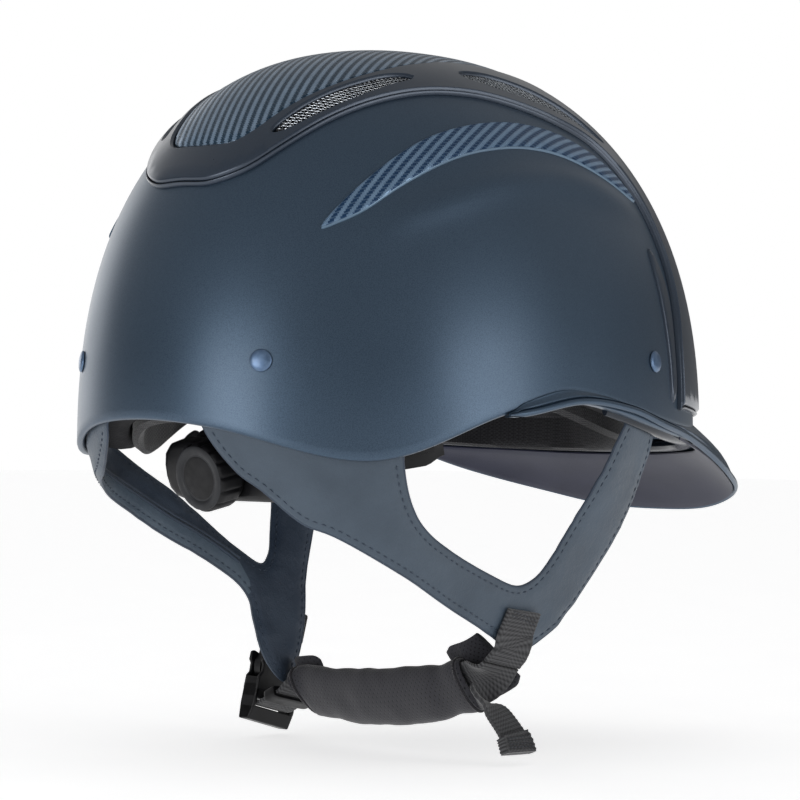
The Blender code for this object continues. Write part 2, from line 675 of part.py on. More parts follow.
def build_chin_strap():
    sewn = [sewn_section(-1, azimuth, height) for azimuth, height in ((87.5, -68), (88, -72.5), (88.5, -77.5))]
    path = spline([hanging(-75.4, -5.9), hanging(-74.2, -3.0), hanging(-72.2, -1.1)], 3.0, closed=False)
    sections = ribbon_sections(path, [0] * len(path), WEBBING_WIDTH, WEBBING_THICKNESS)
    add_loft("webbing_right", sewn + sections, WEBBING)

    path, twists = strap_line()
    add_loft("chin_strap", ribbon_sections(path, twists, WEBBING_WIDTH, WEBBING_THICKNESS), WEBBING)
    outer = oval(path, twists, PAD_WIDTH, PAD_DEPTH, PAD_SIDES)
    slot = squared(path, twists, WEBBING_WIDTH + 1.8, WEBBING_THICKNESS + 4.0, PAD_SIDES)
    add_tube("chin_pad", between(path, outer, *PAD_SPAN), between(path, slot, *PAD_SPAN), SLEEVE)
    outer = squared(path, twists, WEBBING_WIDTH + 4.2, WEBBING_THICKNESS + 4.4, 8)
    slot = squared(path, twists, WEBBING_WIDTH + 1.2, WEBBING_THICKNESS + 1.2, 8)
    add_tube("strap_keeper", between(path, outer, *KEEPER_SPAN), between(path, slot, *KEEPER_SPAN), PLASTIC)

    path = spline([hanging(*knot) for knot in TAIL_KNOTS], 4.0, closed=False)
    twists = [-PAD_TWIST * max(0.0, (point.x + 72) / 13)**2 for point in path]
    add_loft("strap_tail", ribbon_sections(path, twists, WEBBING_WIDTH - 1, TAIL_THICKNESS), WEBBING)


def buckle_frame():
    """x is the buckle's thickness, y runs across it, and -z points down its length."""
    turned = Matrix((Vector((1, 0, 0)), ACROSS, -DOWN)).transposed().to_4x4()
    return Matrix.Translation(hanging(BUCKLE_REACH, BUCKLE_DROP)) @ turned


def build_buckle():
    frame = buckle_frame()
    plug = add_box("buckle_plug", frame, (-3, -11.8, 13), (3, 11.8, 26), PLASTIC)
    cut(plug, add_box("cut_plug_slot", frame, (-6, -10.6, 18.8), (6, 10.6, 23.8), PLASTIC))
    join(plug, add_box("join_plug_guide", frame, (-1.6, -1.6, -2), (1.6, 1.6, 14), PLASTIC))
    prong = [(6.4, 12.6), (9.8, 12.6), (9.6, 4), (11.1, 0.5), (9.9, -4.5), (7.2, -5.5), (6.7, 2)]
    for side, label in ((-1, "front"), (1, "rear")):
        sections = [[frame @ Vector((x, side * y, z)) for y, z in prong] for x in (-1.9, 1.9)]
        add_loft(f"buckle_prong_{label}", sections, PLASTIC, smooth=False)
    profile = [(-4.4, 4.5), (-4.4, -18), (-2.6, -25), (3.6, -25), (4.4, -18), (4.4, 4.5)]
    sections = [[frame @ Vector((x, y, z)) for x, z in profile] for y in (-12.4, 12.4)]
    socket = add_loft("buckle_socket", sections, PLASTIC, smooth=False)
    cavity = add_box("cut_socket_cavity", frame, (-3.2, -11.5, -9), (3.2, 11.5, 6), PLASTIC)
    window = add_box("cut_socket_window", frame, (-2.6, -15, -6.5), (2.6, 15, 1.5), PLASTIC)
    ladder = add_box("cut_socket_ladder", frame, (-8, -10.7, -19.5), (8, 10.7, -12.5), PLASTIC)
    for cutter in (cavity, window, ladder):
        cut(socket, cutter)
    sewn = [sewn_section(1, azimuth, height) for azimuth, height in ((78.5, -58), (78.3, -61), (78, -64))]
    path = spline([frame @ Vector((3.6, 0, 30.5)), frame @ Vector((5.2, 0, 28.5)), frame @ Vector((6.2, 0, 24.5)),
                   frame @ Vector((4.0, 0, 21.2)), frame @ Vector((0.5, 0, 21.2))], 3.0, closed=False)
    sections = ribbon_sections(path, [0] * len(path), WEBBING_WIDTH, WEBBING_THICKNESS)
    add_loft("webbing_left", sewn + sections, WEBBING)


def adjuster_frame():
    tip = radians(ADJUSTER_TIP)
    rows = (Vector((1, 0, 0)), Vector((0, cos(tip), -sin(tip))), Vector((0, sin(tip), cos(tip))))
    return Matrix.Translation(ADJUSTER_CENTRE) @ Matrix(rows).transposed().to_4x4()


def arc_band(name, frame, inner, outer, low, high, start, end, step, spec):
    """A band about the adjuster's z axis; angles are from the rear, towards the left."""
    sections = []
    for angle in turns(step, start, end, closed=False):
        s, c = sin(radians(angle)), cos(radians(angle))
        sections.append([frame @ Vector((radius * s, radius * c, height))
                         for radius, height in ((inner, low), (outer, low), (outer, high), (inner, high))])
    return add_loft(name, sections, spec)


def build_adjuster():
    frame = adjuster_frame()
    arc_band("nape_pad", frame, 67.0, 72.6, -11, 17, -40, 40, 8.0, LINER)
    arc_band("adjuster_base", frame, 73.0, 75.4, -14, 15, -26, 26, 6.5, PLASTIC)
    for side, label in ((1, "left"), (-1, "right")):
        start, end = (-9, 66) if side > 0 else (-66, 9)
        low, high = (-9.6, -5.6) if side > 0 else (5.6, 9.6)
        rack = arc_band(f"rack_{label}", frame, RACK_INNER, RACK_OUTER, low, high, start, end, 5.0, PLASTIC)
        blade_start, blade_end = (22, 66) if side > 0 else (-66, -22)
        blade = arc_band(f"join_blade_{label}", frame, RACK_INNER, RACK_OUTER, -6.5, 6.5, blade_start,
                         blade_end, 5.0, PLASTIC)
        join(rack, blade)
    back = Matrix.Rotation(radians(-90), 4, "X")
    pinion = [(0, 82.2), (4.2, 82.2), (4.2, 76.3), (0, 76.3)]
    add_turned("adjuster_pinion", pinion, 16, PLASTIC, frame @ back)
    cover = add_box("adjuster_cover", frame, (-37, 75.8, -13), (37, 84.5, 13), PLASTIC)
    hollow = add_box("cut_cover_hollow", frame, (-33.5, 70, -10.4), (33.5, 82.6, 10.4), PLASTIC)
    cut(cover, hollow)
    shaft_hole = add_turned("cut_cover_hole", [(0, 90), (5.0, 90), (5.0, 80), (0, 80)], 20, PLASTIC, frame @ back)
    cut(cover, shaft_hole)
    knob = [(0, 97.5), (9.6, 97.5), (9.9, 98.6), (12.4, 98.6), (DIAL_RADIUS, 97.0), (DIAL_RADIUS, 88.0),
            (12.6, 85.2), (3.0, 85.2), (3.0, 82.6), (0, 82.6)]
    add_turned("dial_knob", knob, 28, PLASTIC, frame @ back)
    add_turned("dial_cap", [(0, 98.9), (8.6, 98.7), (9.2, 97.9), (0, 97.9)], 24, PLASTIC, frame @ back)


def set_origin(name, point):
    """Put an object's origin on its joint, without moving its solid."""
    thing = bpy.data.objects[name]
    thing.data.transform(Matrix.Translation(-point * MM))
    thing.location = point * MM


def set_joint_origins():
    adjuster = adjuster_frame()
    for name in ("dial_knob", "dial_cap", "adjuster_pinion"):
        set_origin(name, adjuster @ Vector((0, 90, 0)))
    for name in ("rack_left", "rack_right"):
        set_origin(name, ADJUSTER_CENTRE)
    for name in ("chin_strap", "chin_pad", "buckle_socket"):
        set_origin(name, PIVOT)
    set_origin("strap_keeper", hanging(sum(KEEPER_SPAN) / 2, 20.0))
    set_origin("strap_tail", hanging(*TAIL_KNOTS[0]))
    buckle = buckle_frame()
    for side, label in ((-1, "front"), (1, "rear")):
        set_origin(f"buckle_prong_{label}", buckle @ Vector((0, side * PRONG_ROOT[0], PRONG_ROOT[1])))


def build():
    for thing in list(bpy.data.objects):
        bpy.data.objects.remove(thing)
    build_shell()
    build_panels()
    build_peak()
    build_linings()
    build_harness()
    build_chin_strap()
    build_buckle()
    build_adjuster()
    set_joint_origins()


build()
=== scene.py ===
"""Looks for the equestrian riding helmet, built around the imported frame.

Lengths are in millimetres and angles in degrees until add_piece() scales a mesh to metres.
The front is -Y, the wearer's left is +X, and the origin is the centre of the head opening.
"""

from math import ceil, cos, degrees, pi, radians, sin

import bpy
import numpy as np
from mathutils import Matrix, Vector, noise
from mathutils.geometry import delaunay_2d_cdt


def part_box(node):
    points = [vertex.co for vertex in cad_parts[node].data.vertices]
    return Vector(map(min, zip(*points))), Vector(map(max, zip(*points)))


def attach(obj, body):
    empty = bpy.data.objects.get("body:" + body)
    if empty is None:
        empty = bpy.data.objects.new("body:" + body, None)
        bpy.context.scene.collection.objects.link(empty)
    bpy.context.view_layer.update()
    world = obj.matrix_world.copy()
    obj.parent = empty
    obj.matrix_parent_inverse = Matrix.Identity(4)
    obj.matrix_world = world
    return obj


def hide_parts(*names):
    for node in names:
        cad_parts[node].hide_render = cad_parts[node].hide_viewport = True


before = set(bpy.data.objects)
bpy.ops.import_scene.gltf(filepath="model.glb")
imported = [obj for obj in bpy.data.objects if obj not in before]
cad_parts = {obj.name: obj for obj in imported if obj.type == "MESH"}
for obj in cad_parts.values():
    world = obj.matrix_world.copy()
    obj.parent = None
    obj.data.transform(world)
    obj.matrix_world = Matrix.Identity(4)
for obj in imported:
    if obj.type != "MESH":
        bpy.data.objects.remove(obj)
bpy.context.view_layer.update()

MM = 0.001
SHELL_LOW, SHELL_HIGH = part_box("outer_shell")
HALF_WIDTH = SHELL_HIGH.x / MM
FRONT_LENGTH = -SHELL_LOW.y / MM
REAR_LENGTH = SHELL_HIGH.y / MM
HEIGHT = round(SHELL_HIGH.z / MM)

# The shell's shape, as in the CAD part
FRONT_PLAN_POWER, REAR_PLAN_POWER, DOME_POWER = 2.3, 2.1, 2.33
SHELL_THICKNESS = 3.0
LINER_INSIDE = -21.0
RIM_KNOTS = [(0, 2), (50, 7), (90, 20.5), (109, 12), (136, -6), (165, 6.3), (180, 9)]
# A soft crease pressed into the shell below each side inlay, on the crown map
CREASE = [(41.5, 48.7), (43.7, 39.6), (48.3, 27), (50.6, 12.4), (51, -1), (48.7, -17.4), (44.7, -31),
          (42.1, -40.5)]
CREASE_RISE, CREASE_WIDTH = 1.7, 2.6

# Outlines on the crown map: degrees from the crown to the wearer's left, and to the rear
FRAME_SIDE = [(66, -53), (58, -48.5), (50, -45.5), (44, -41), (38.5, -34), (35.5, -25), (36, -14),
              (35.3, -3), (32.5, 9), (28, 21), (23, 33), (18.5, 43), (14, 49.3), (7.5, 52.8), (0, 53.3)]
FRAME_FRONT_AZIMUTH, FRAME_ABOVE_RIM = 51.2, 9.0
CROWN_INLAY_SIDE = [(0, -54), (7, -49), (13, -38), (18, -22), (21.2, -6), (21.3, 8), (20.2, 16),
                    (19, 21.5), (17.2, 27), (15, 32.5), (12.8, 38), (10.6, 43), (7, 46), (0, 46.8)]
REAR_VENT = [(14.3, 41.8), (16.3, 41), (18.8, 37), (21.3, 31.5), (23.3, 25.5), (25.2, 17.5),
             (24, 17.2), (21.6, 20.5), (19.2, 26.5), (17, 32), (15.3, 37)]
FRONT_VENT = [(26.8, 4.5), (29.3, 3), (31.6, -3), (32.6, -10.5), (32.6, -18), (32.2, -26),
              (31.2, -28.5), (29, -24), (27.4, -17), (26.6, -9), (26.2, -2)]
SIDE_INLAY = [(33, 50.4), (34, 44), (35.1, 38.4), (36.2, 31.6), (37.3, 24.6), (39, 14.3), (39.8, 5),
              (39.8, -5), (39.1, -14.5), (38.7, -23), (38.9, -29), (40.3, -34.5), (42.3, -30),
              (43.8, -22), (44.9, -11), (45.4, -0.5), (45.1, 9), (44, 18), (42.2, 28.4), (40.6, 35.4),
              (38.8, 41.8), (36.3, 46.5)]
FRONT_BLADE = [(49.2, -35.8), (56, -39.7), (62.5, -44.2), (67.6, -48.2), (65, -50.2), (59.5, -47.4),
               (52.3, -43.8), (49.4, -40)]

# Carbon inlays: thickness at the edge, width of the edge band, and the bands' and threads' pitches
INLAY_THICKNESS, TRIM_WIDTH = 0.4, 0.25
CROWN_PITCH, CROWN_THREAD, CROWN_SLANT = 1.62, 0.45, 25.0
SIDE_PITCH, SIDE_THREAD = 1.5, 0.5

# Peak: (azimuth, reach beyond the shell, height of the edge)
PEAK_END = 108.0
PEAK_KNOTS = [(0, 37, -27), (10, 35.5, -25.5), (20, 30.5, -19), (30, 18, -10.6), (40, 7.5, -1),
              (50, 3.4, 5.4), (60, 2.8, 9.6), (72, 2.5, 15.4), (88, 2.3, 18.2), (108, 1.9, 12.6)]
PEAK_THICKNESS = 2.4

# Harness: (azimuth, height) on a skirt that tapers inwards below the shell
HARNESS_TAPER, HARNESS_TAPER_TOP, HARNESS_SCALE = 0.36, 10.0, 1.9
WRAP_WIDTH = 9.0
RIGHT_EDGE = [(167, 16), (166.5, 4), (162, -10), (157, -18), (150, -30), (143, -35.5), (129, -50),
              (114, -64), (91, -79), (83, -82.5), (75, -80), (67, -71), (61, -56), (57.5, -41),
              (55, -25), (55, -5), (57, 11), (57, 40), (61, 44), (65, 40), (68, 15), (70, 0),
              (72, -15), (77, -36), (81, -48), (85, -54), (92, -56), (103, -51), (116, -42),
              (124, -33), (128, -22), (130, -6), (130, 12), (140, 20), (150, 38), (155.5, 44),
              (161, 38)]
LEFT_EDGE = [(167, 16), (166.5, 5), (162, -5), (155, -13), (146.5, -17), (132, -28), (118.5, -41),
             (106, -51), (96, -60), (92, -68), (92, -78), (91.5, -90), (88, -99), (83, -103),
             (78, -98), (73, -88), (69.5, -75), (67.5, -60), (64, -42), (61, -25), (58, -5),
             (57, 11), (57, 40), (61, 44), (65, 40), (68, 15), (70.5, 0), (74, -17), (77, -36),
             (80, -49), (84, -53.5), (91, -48), (99, -39), (106, -30), (113, -21), (120, -12.5),
             (128, -2), (136, 10), (144, 22), (150, 38), (155.5, 44), (161, 38)]
REAR_RIVET, FRONT_RIVET = (155.5, 32.0), (61.0, 35.0)

# Chin strap: hangs in a plane tilted about X, from a pivot under the right-hand harness
PIVOT = Vector((-71.0, -1.5, -87.0))
STRAP_TILT, STRAP_SLANT = 15.0, -0.122
ACROSS = Vector((0.0, cos(radians(STRAP_TILT)), sin(radians(STRAP_TILT))))
DOWN = Vector((0.0, sin(radians(STRAP_TILT)), -cos(radians(STRAP_TILT))))
WEBBING_WIDTH, WEBBING_THICKNESS = 20.0, 1.8
RIB_DEPTH, RIB_PITCH, CHEVRON_PITCH = 0.12, 1.7, 2.2
FOLD_THICKNESS = 4.4
SEAM_HALF = 8.0
PAD_TWIST = 50.0
FLAP_FLARE = 5.0
SLEEVE_START, SLEEVE_END = -54.5, 56.5
KEEPER_START, KEEPER_END = 62.0, 69.5
SLEEVE_WIDTH, SLEEVE_DEPTH, SLEEVE_ROOM = 23.6, 9.6, 1.0
STRAP_KNOTS = [(-69.7, 1.2), (-67, 4), (-61.5, 6.8), (-55, 9), (-40, 12.5), (-20, 15.3), (0, 17),
               (20, 17.4), (38, 16.8), (50, 16), (58, 17), (64, 19.2), (70, 21.8), (75.5, 24.1), (81, 24.3)]
TAIL_KNOTS = [(-62, 15, 3), (-65.3, 16.6, 1.8), (-69, 18.6, -1), (-73.5, 23.5, -5), (-77.5, 29, -8.5),
              (-80, 34.5, -10.5)]
BUCKLE_REACH, BUCKLE_DROP = 80.5, 7.2

# Dial adjuster: its own frame, tipped about X
ADJUSTER_CENTRE = Vector((0.0, 4.0, 6.4))
ADJUSTER_TIP = 12.0
DIAL_RADIUS, GRIP_COUNT, GRIP_DEPTH = 14.0, 14, 0.8
CUSHION_INSIDE, CUSHION_OUTSIDE, CUSHION_BACK = 67.0, 72.6, 72.4
YOKE_INSIDE, YOKE_OUTSIDE, YOKE_SPREAD = 73.1, 75.3, 26.0
RACK_INSIDE, RACK_OUTSIDE, RACK_REACH = 76.6, 78.4, 66.0
RACK_NEAR, RACK_FAR = 5.6, 9.6
TOOTH_COUNT, TOOTH_PITCH, TOOTH_HEIGHT = 26, 1.5, 0.9

# The main view
VIEW_AZIMUTH, VIEW_ELEVATION, VIEW_ROLL = 45.0, -0.4, 0.7
VIEW_DISTANCE, VIEW_LENS, SENSOR = 1400.0, 151.2, 36.0
AIM_RIGHT, AIM_UP = 8.67, 18.29

# Studio: a room light that is brighter to one side (degrees from the camera, with the cosines where that
# starts and is full), one lamp overhead, a faintly glowing floor, and lamps as
# (name, angle to the right of the camera, distance, height, (width, tallness), watts)
FLOOR_LEVEL = -128.0
ROOM_LIGHT, BACKDROP_LIGHT, OVERHEAD_STRENGTH = 0.13, 1.6, 0.75
FLOOR_GLOW = 0.62
BRIGHT_SIDE = -149.0
STUDIO_LIGHTS = [("left strip", -40, 1300, -60, (620, 760), 7.2),
                 ("right strip", 60, 1300, -60, (620, 760), 4.9)]
BRIGHT_START, BRIGHT_FULL = 0.88, 0.975
FLOOR_REACH = 6000.0


# ---------------------------------------------------------------- curves and surfaces

def interpolate(knots, at, column=1):
    """Smooth curve through (x, value, ...) knots, flat at both ends; at is an array."""
    x = np.array([knot[0] for knot in knots], float)
    y = np.array([knot[column] for knot in knots], float)
    slope = np.zeros(len(x))
    slope[1:-1] = (y[2:] - y[:-2]) / (x[2:] - x[:-2])
    at = np.clip(np.asarray(at, float), x[0], x[-1])
    i = np.clip(np.searchsorted(x, at, side="left") - 1, 0, len(x) - 2)
    width = x[i + 1] - x[i]
    t = (at - x[i]) / width
    rise = 3 * t**2 - 2 * t**3
    bend = slope[i] * (t**3 - 2 * t**2 + t) + slope[i + 1] * (t**3 - t**2)
    return y[i] * (1 - rise) + y[i + 1] * rise + width * bend


def spline(knots, step, closed=True):
    """Points about step apart on a smooth curve through the knots, as an array."""
    knots = np.asarray(knots, float)
    count = len(knots)
    result = []
    for i in range(count if closed else count - 1):
        picks = [(i + j) % count if closed else min(max(i + j, 0), count - 1) for j in (-1, 0, 1, 2)]
        a, b, c, d = knots[picks]
        parts = max(1, ceil(np.linalg.norm(c - b) / step))
        t = (np.arange(parts) / parts)[:, None]
        result.append(0.5 * (2 * b + (c - a) * t + (2 * a - 5 * b + 4 * c - d) * t**2
                             + (3 * b - a - 3 * c + d) * t**3))
    if not closed:
        result.append(knots[-1:])
    return np.concatenate(result)


def lengths_along(points):
    return np.concatenate([[0.0], np.cumsum(np.linalg.norm(np.diff(points, axis=0), axis=1))])


def resample(points, step=1.0, closed=False, count=None):
    """The same line with points step apart, or with a count of points."""
    points = np.asarray(points, float)
    if closed:
        points = np.concatenate([points, points[:1]])
    lengths = lengths_along(points)
    at = np.linspace(0, lengths[-1], count or max(2, round(lengths[-1] / step) + 1))
    if closed:
        at = at[:-1]
    return np.stack([np.interp(at, lengths, points[:, k]) for k in range(points.shape[1])], 1)


def smooth_step(value, start, end):
    share = np.clip((value - start) / (end - start), 0, 1)
    return share**2 * (3 - 2 * share)


def plan_radius(azimuth, offset):
    """Distance from the middle to the shell at z = 0, towards an azimuth in radians."""
    side, ahead = np.abs(np.sin(azimuth)), np.cos(azimuth)
    length = np.where(ahead > 0, FRONT_LENGTH, REAR_LENGTH) + offset
    power = np.where(ahead > 0, FRONT_PLAN_POWER, REAR_PLAN_POWER)
    return ((side / (HALF_WIDTH + offset))**power + (np.abs(ahead) / length)**power)**(-1 / power)


def around(azimuth, radius, height):
    """Points at an azimuth in radians, a distance from the z axis and a height."""
    return np.stack([radius * np.sin(azimuth), -radius * np.cos(azimuth), height], -1)


def dome(points, offset=0.0):
    """The shell's surface at places on the crown map."""
    across, along = points[..., 0], points[..., 1]
    azimuth = np.arctan2(across, -along)
    tilt = np.radians(np.hypot(across, along))
    lean = np.minimum(tilt, pi / 2)
    reach = (np.sin(lean)**DOME_POWER + np.abs(np.cos(lean))**DOME_POWER)**(-1 / DOME_POWER)
    radius = plan_radius(azimuth, offset) * reach * np.sin(lean)
    height = (HEIGHT + offset) * reach * np.cos(lean) - HEIGHT * (tilt - lean)
    return around(azimuth, radius, height)


def rim_height(azimuth):
    return interpolate(RIM_KNOTS, np.abs(azimuth))


def on_map(azimuth, height):
    """The crown map's places for azimuths in degrees and heights in millimetres."""
    azimuth, height = np.broadcast_arrays(np.asarray(azimuth, float), np.asarray(height, float))
    rise = np.clip(height / HEIGHT, 1e-6, 1.0)
    above = np.degrees(np.arctan((rise**-DOME_POWER - 1)**(1 / DOME_POWER)))
    tilt = np.where(height > 0, above, 90 - np.degrees(height / HEIGHT))
    return around(np.radians(azimuth), tilt, tilt)[..., :2]


def mirrored(loop):
    return (np.asarray(loop) * (-1, 1))[::-1]


def sided(loop, side):
    return np.asarray(loop, float) if side > 0 else mirrored(loop)


def shrunk(loop, margin):
    """A loop pulled in by a margin."""
    ahead = np.roll(loop, -1, 0) - np.roll(loop, 1, 0)
    ahead /= np.linalg.norm(ahead, axis=1)[:, None]
    inward = np.stack([-ahead[:, 1], ahead[:, 0]], 1)
    area = np.sum(loop[:, 0] * np.roll(loop[:, 1], -1) - loop[:, 1] * np.roll(loop[:, 0], -1))
    return loop + inward * margin * (1 if area > 0 else -1)


def scaled(loop, factor):
    middle = loop.mean(0)
    return middle + (loop - middle) * factor


def inside(points, loop):
    """Which points lie inside a loop."""
    found = np.zeros(len(points), bool)
    x, y = points[:, 0], points[:, 1]
    for (ax, ay), (bx, by) in zip(loop, np.roll(loop, -1, 0)):
        if ay != by:
            found ^= ((ay > y) != (by > y)) & (x < (bx - ax) * (y - ay) / (by - ay) + ax)
    return found


def distance_to(points, loops, closed=True):
    """Each point's distance to the nearest of the loops."""
    nearest = np.full(len(points), 1e9)
    for loop in loops:
        ends = np.roll(loop, -1, 0) if closed else loop[1:]
        for a, b in zip(loop, ends):
            along = b - a
            length = along @ along
            if length > 0:
                t = np.clip((points - a) @ along / length, 0, 1)
                gap = points - a - t[:, None] * along
                nearest = np.minimum(nearest, np.hypot(gap[:, 0], gap[:, 1]))
    return nearest


def skirt(points, offset):
    """The harness's surface for (scaled azimuth, height) places."""
    azimuth, height = points[..., 0] / HARNESS_SCALE, points[..., 1]
    top = np.minimum(rim_height(azimuth), HARNESS_TAPER_TOP)
    drop = np.maximum(0.0, top - height)
    inner = dome(on_map(azimuth, np.maximum(height, 0.01)), offset)
    below = plan_radius(np.radians(azimuth), offset)
    radius = np.where(height > 0, np.hypot(inner[..., 0], inner[..., 1]), below)
    return around(np.radians(azimuth), radius - HARNESS_TAPER * drop, height)


def hanging(x, drop, rearward=0.0):
    """A place near the chin strap's line: x, the distance below the pivot, and a shift to the rear."""
    return Vector((x, PIVOT.y, PIVOT.z)) + DOWN * drop + ACROSS * (STRAP_SLANT * (x - PIVOT.x) + rearward)


def ripple(points, size, seed):
    """Smooth noise from -1 to 1 at points, with waves about size across."""
    shift = Vector((seed * 7.3, seed * 3.1, seed * 5.7))
    return np.array([noise.noise(Vector(point) / size + shift) for point in points])


# ---------------------------------------------------------------- meshes

def add_piece(name, points, faces, finish, body="root", replaces=(), slot=None, sharp=40.0):
    """One visible mesh, riding on a body; points are in millimetres in the part's frame."""
    mesh = bpy.data.meshes.new(name)
    mesh.from_pydata((np.asarray(points, float) * MM).tolist(), [], faces)
    mesh.update()
    mesh.materials.append(finish)
    mesh.shade_smooth()
    mesh.set_sharp_from_angle(angle=radians(sharp))
    made = bpy.data.objects.new(name, mesh)
    bpy.context.collection.objects.link(made)
    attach(made, body)
    if replaces:
        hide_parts(*replaces)
    return made


def volume(points, faces):
    points = np.asarray(points, float)
    total = 0.0
    for face in faces:
        for i in range(1, len(face) - 1):
            total += points[face[0]] @ np.cross(points[face[i]], points[face[i + 1]])
    return total


def outward(points, faces):
    """The faces of a closed mesh, turned so that they face outwards."""
    return faces if volume(points, faces) >= 0 else [face[::-1] for face in faces]


def fill(outline, holes, step, rings=()):
    """Triangles over a flat outline with holes; rings are extra lines to follow."""
    loops = [outline, *holes]
    fixed = [*loops, *rings]
    border = np.concatenate(fixed)
    edges, first = [], 0
    for loop in fixed:
        edges += [(first + i, first + (i + 1) % len(loop)) for i in range(len(loop))]
        first += len(loop)
    low, high = outline.min(0), outline.max(0)
    row_step = step * sin(radians(60))
    rows = np.arange(ceil((high[1] - low[1]) / row_step))
    columns = np.arange(ceil((high[0] - low[0]) / step) + 1)
    column, row = np.meshgrid(columns, rows)
    across = low[0] + (column + 0.5 * (row % 2)) * step
    grid = np.stack([across, low[1] + (row + 0.5) * row_step], -1).reshape(-1, 2)
    kept = sum(inside(grid, loop).astype(int) for loop in loops) == 1
    grid = grid[kept]
    grid = grid[distance_to(grid, fixed) > 0.6 * step]
    points = [Vector(point) for point in np.concatenate([border, grid])]
    vertices, _, faces, *_ = delaunay_2d_cdt(points, edges, [], 0, 1e-6)
    vertices = np.array([tuple(vertex) for vertex in vertices])
    middles = np.array([vertices[face].mean(0) for face in faces])
    kept = sum(inside(middles, loop).astype(int) for loop in loops) == 1
    faces = [tuple(face) for face, keep in zip(faces, kept) if keep]
    used = np.unique([i for face in faces for i in face])
    index = {old: new for new, old in enumerate(used)}
    return vertices[used], [tuple(index[i] for i in face) for face in faces]


def open_edges(faces):
    """The directed edges that only one face has, in order."""
    edges = {(a, b) for face in faces for a, b in zip(face, face[1:] + face[:1])}
    return [(a, b) for a, b in sorted(edges) if (b, a) not in edges]


def doubled(faces, count):
    """A sheet's faces, the same faces on points count further on, and the walls between them."""
    back = [tuple(i + count for i in face[::-1]) for face in faces]
    return faces + back + [(b, a, a + count, b + count) for a, b in open_edges(faces)]


def skin(name, outline, holes, step, surface, outer, inner, finish, rings=(), **options):
    """A closed sheet over a flat outline; outer and inner give offsets from (points, edge distance)."""
    flat, faces = fill(outline, holes, step, rings)
    edge = distance_to(flat, [outline, *holes])
    count = len(flat)
    points = np.concatenate([surface(flat, outer(flat, edge)), surface(flat, inner(flat, edge))])
    a, b, c = points[list(faces[0])]
    if np.cross(b - a, c - a) @ ((a + b + c) / 3 - (0, 0, 20)) < 0:
        faces = [face[::-1] for face in faces]
    return add_piece(name, points, doubled(faces, count), finish, **options), flat


def tube_faces(first, count, size):
    """The faces of a capped tube: count rings of size points, numbered from first."""
    faces = []
    for ring in range(first, first + (count - 1) * size, size):
        for j in range(size):
            a, b = ring + j, ring + (j + 1) % size
            faces.append((a, b, b + size, a + size))
    last = first + (count - 1) * size
    return faces + [tuple(range(first, first + size))[::-1], tuple(range(last, last + size))]


def loft(name, sections, finish, closed=False, **options):
    """A solid through equal-length sections of points."""
    sections = np.asarray(sections, float)
    count, size = sections.shape[:2]
    faces = tube_faces(0, count, size)
    if closed:
        last = (count - 1) * size
        ends = [(j, (j + 1) % size) for j in range(size)]
        faces = faces[:-2] + [(last + a, last + b, b, a) for a, b in ends]
    points = sections.reshape(-1, 3)
    return add_piece(name, points, outward(points, faces), finish, **options)


def turned(name, profile, sides, finish, place, wave=None, **options):
    """A solid of revolution about z from (radius, height) points that start and end on the axis."""
    points, faces, rings = [], [], []
    for radius, height in profile:
        if radius == 0:
            rings.append([len(points)])
            points.append((0, 0, height))
        else:
            rings.append(list(range(len(points), len(points) + sides)))
            for i in range(sides):
                turn = 2 * pi * i / sides
                out = radius + (wave(turn, radius, height) if wave else 0.0)
                points.append((out * cos(turn), out * sin(turn), height))
    for upper, lower in zip(rings, rings[1:]):
        for i in range(sides):
            j = (i + 1) % sides
            if len(upper) == 1:
                faces.append((upper[0], lower[i], lower[j]))
            elif len(lower) == 1:
                faces.append((upper[i], lower[0], upper[j]))
            else:
                faces.append((upper[i], lower[i], lower[j], upper[j]))
    placed = [tuple(place @ Vector(point)) for point in points]
    return add_piece(name, placed, outward(points, faces), finish, **options)


def rounded_box(name, place, low, high, radius, finish, **options):
    """A box in its own frame with round edges."""
    ends = (Vector(low), Vector(high))
    points = [Vector((ends[i & 1].x, ends[i >> 1 & 1].y, ends[i >> 2 & 1].z)) for i in range(8)]
    faces = [(0, 2, 3, 1), (4, 5, 7, 6), (0, 1, 5, 4), (2, 6, 7, 3), (0, 4, 6, 2), (1, 3, 7, 5)]
    made = add_piece(name, [tuple(place @ point) for point in points], faces, finish, **options)
    round_edges(made, radius)


def round_edges(piece, radius):
    bevel = piece.modifiers.new("round edges", "BEVEL")
    bevel.width = radius * MM
    bevel.segments = 3
    bevel.limit_method = "ANGLE"
    bevel.angle_limit = radians(30)
    bevel.harden_normals = False


def tube_loop(name, path, radius, finish, sides=6, closed=True, **options):
    """A round cord along a 3-D path."""
    path = np.asarray(path, float)
    sections = []
    for i, point in enumerate(path):
        before = path[i - 1] if closed or i else path[0]
        after = path[(i + 1) % len(path)] if closed or i + 1 < len(path) else path[-1]
        ahead = Vector(after - before).normalized()
        out = Vector(point - np.array((0, 0, 20.0))).normalized()
        side = ahead.cross(out).normalized()
        up = side.cross(ahead)
        turns = [2 * pi * j / sides for j in range(sides)]
        sections.append([tuple(Vector(point) + side * radius * cos(turn) + up * radius * sin(turn))
                         for turn in turns])
    return loft(name, sections, finish, closed=closed, **options)


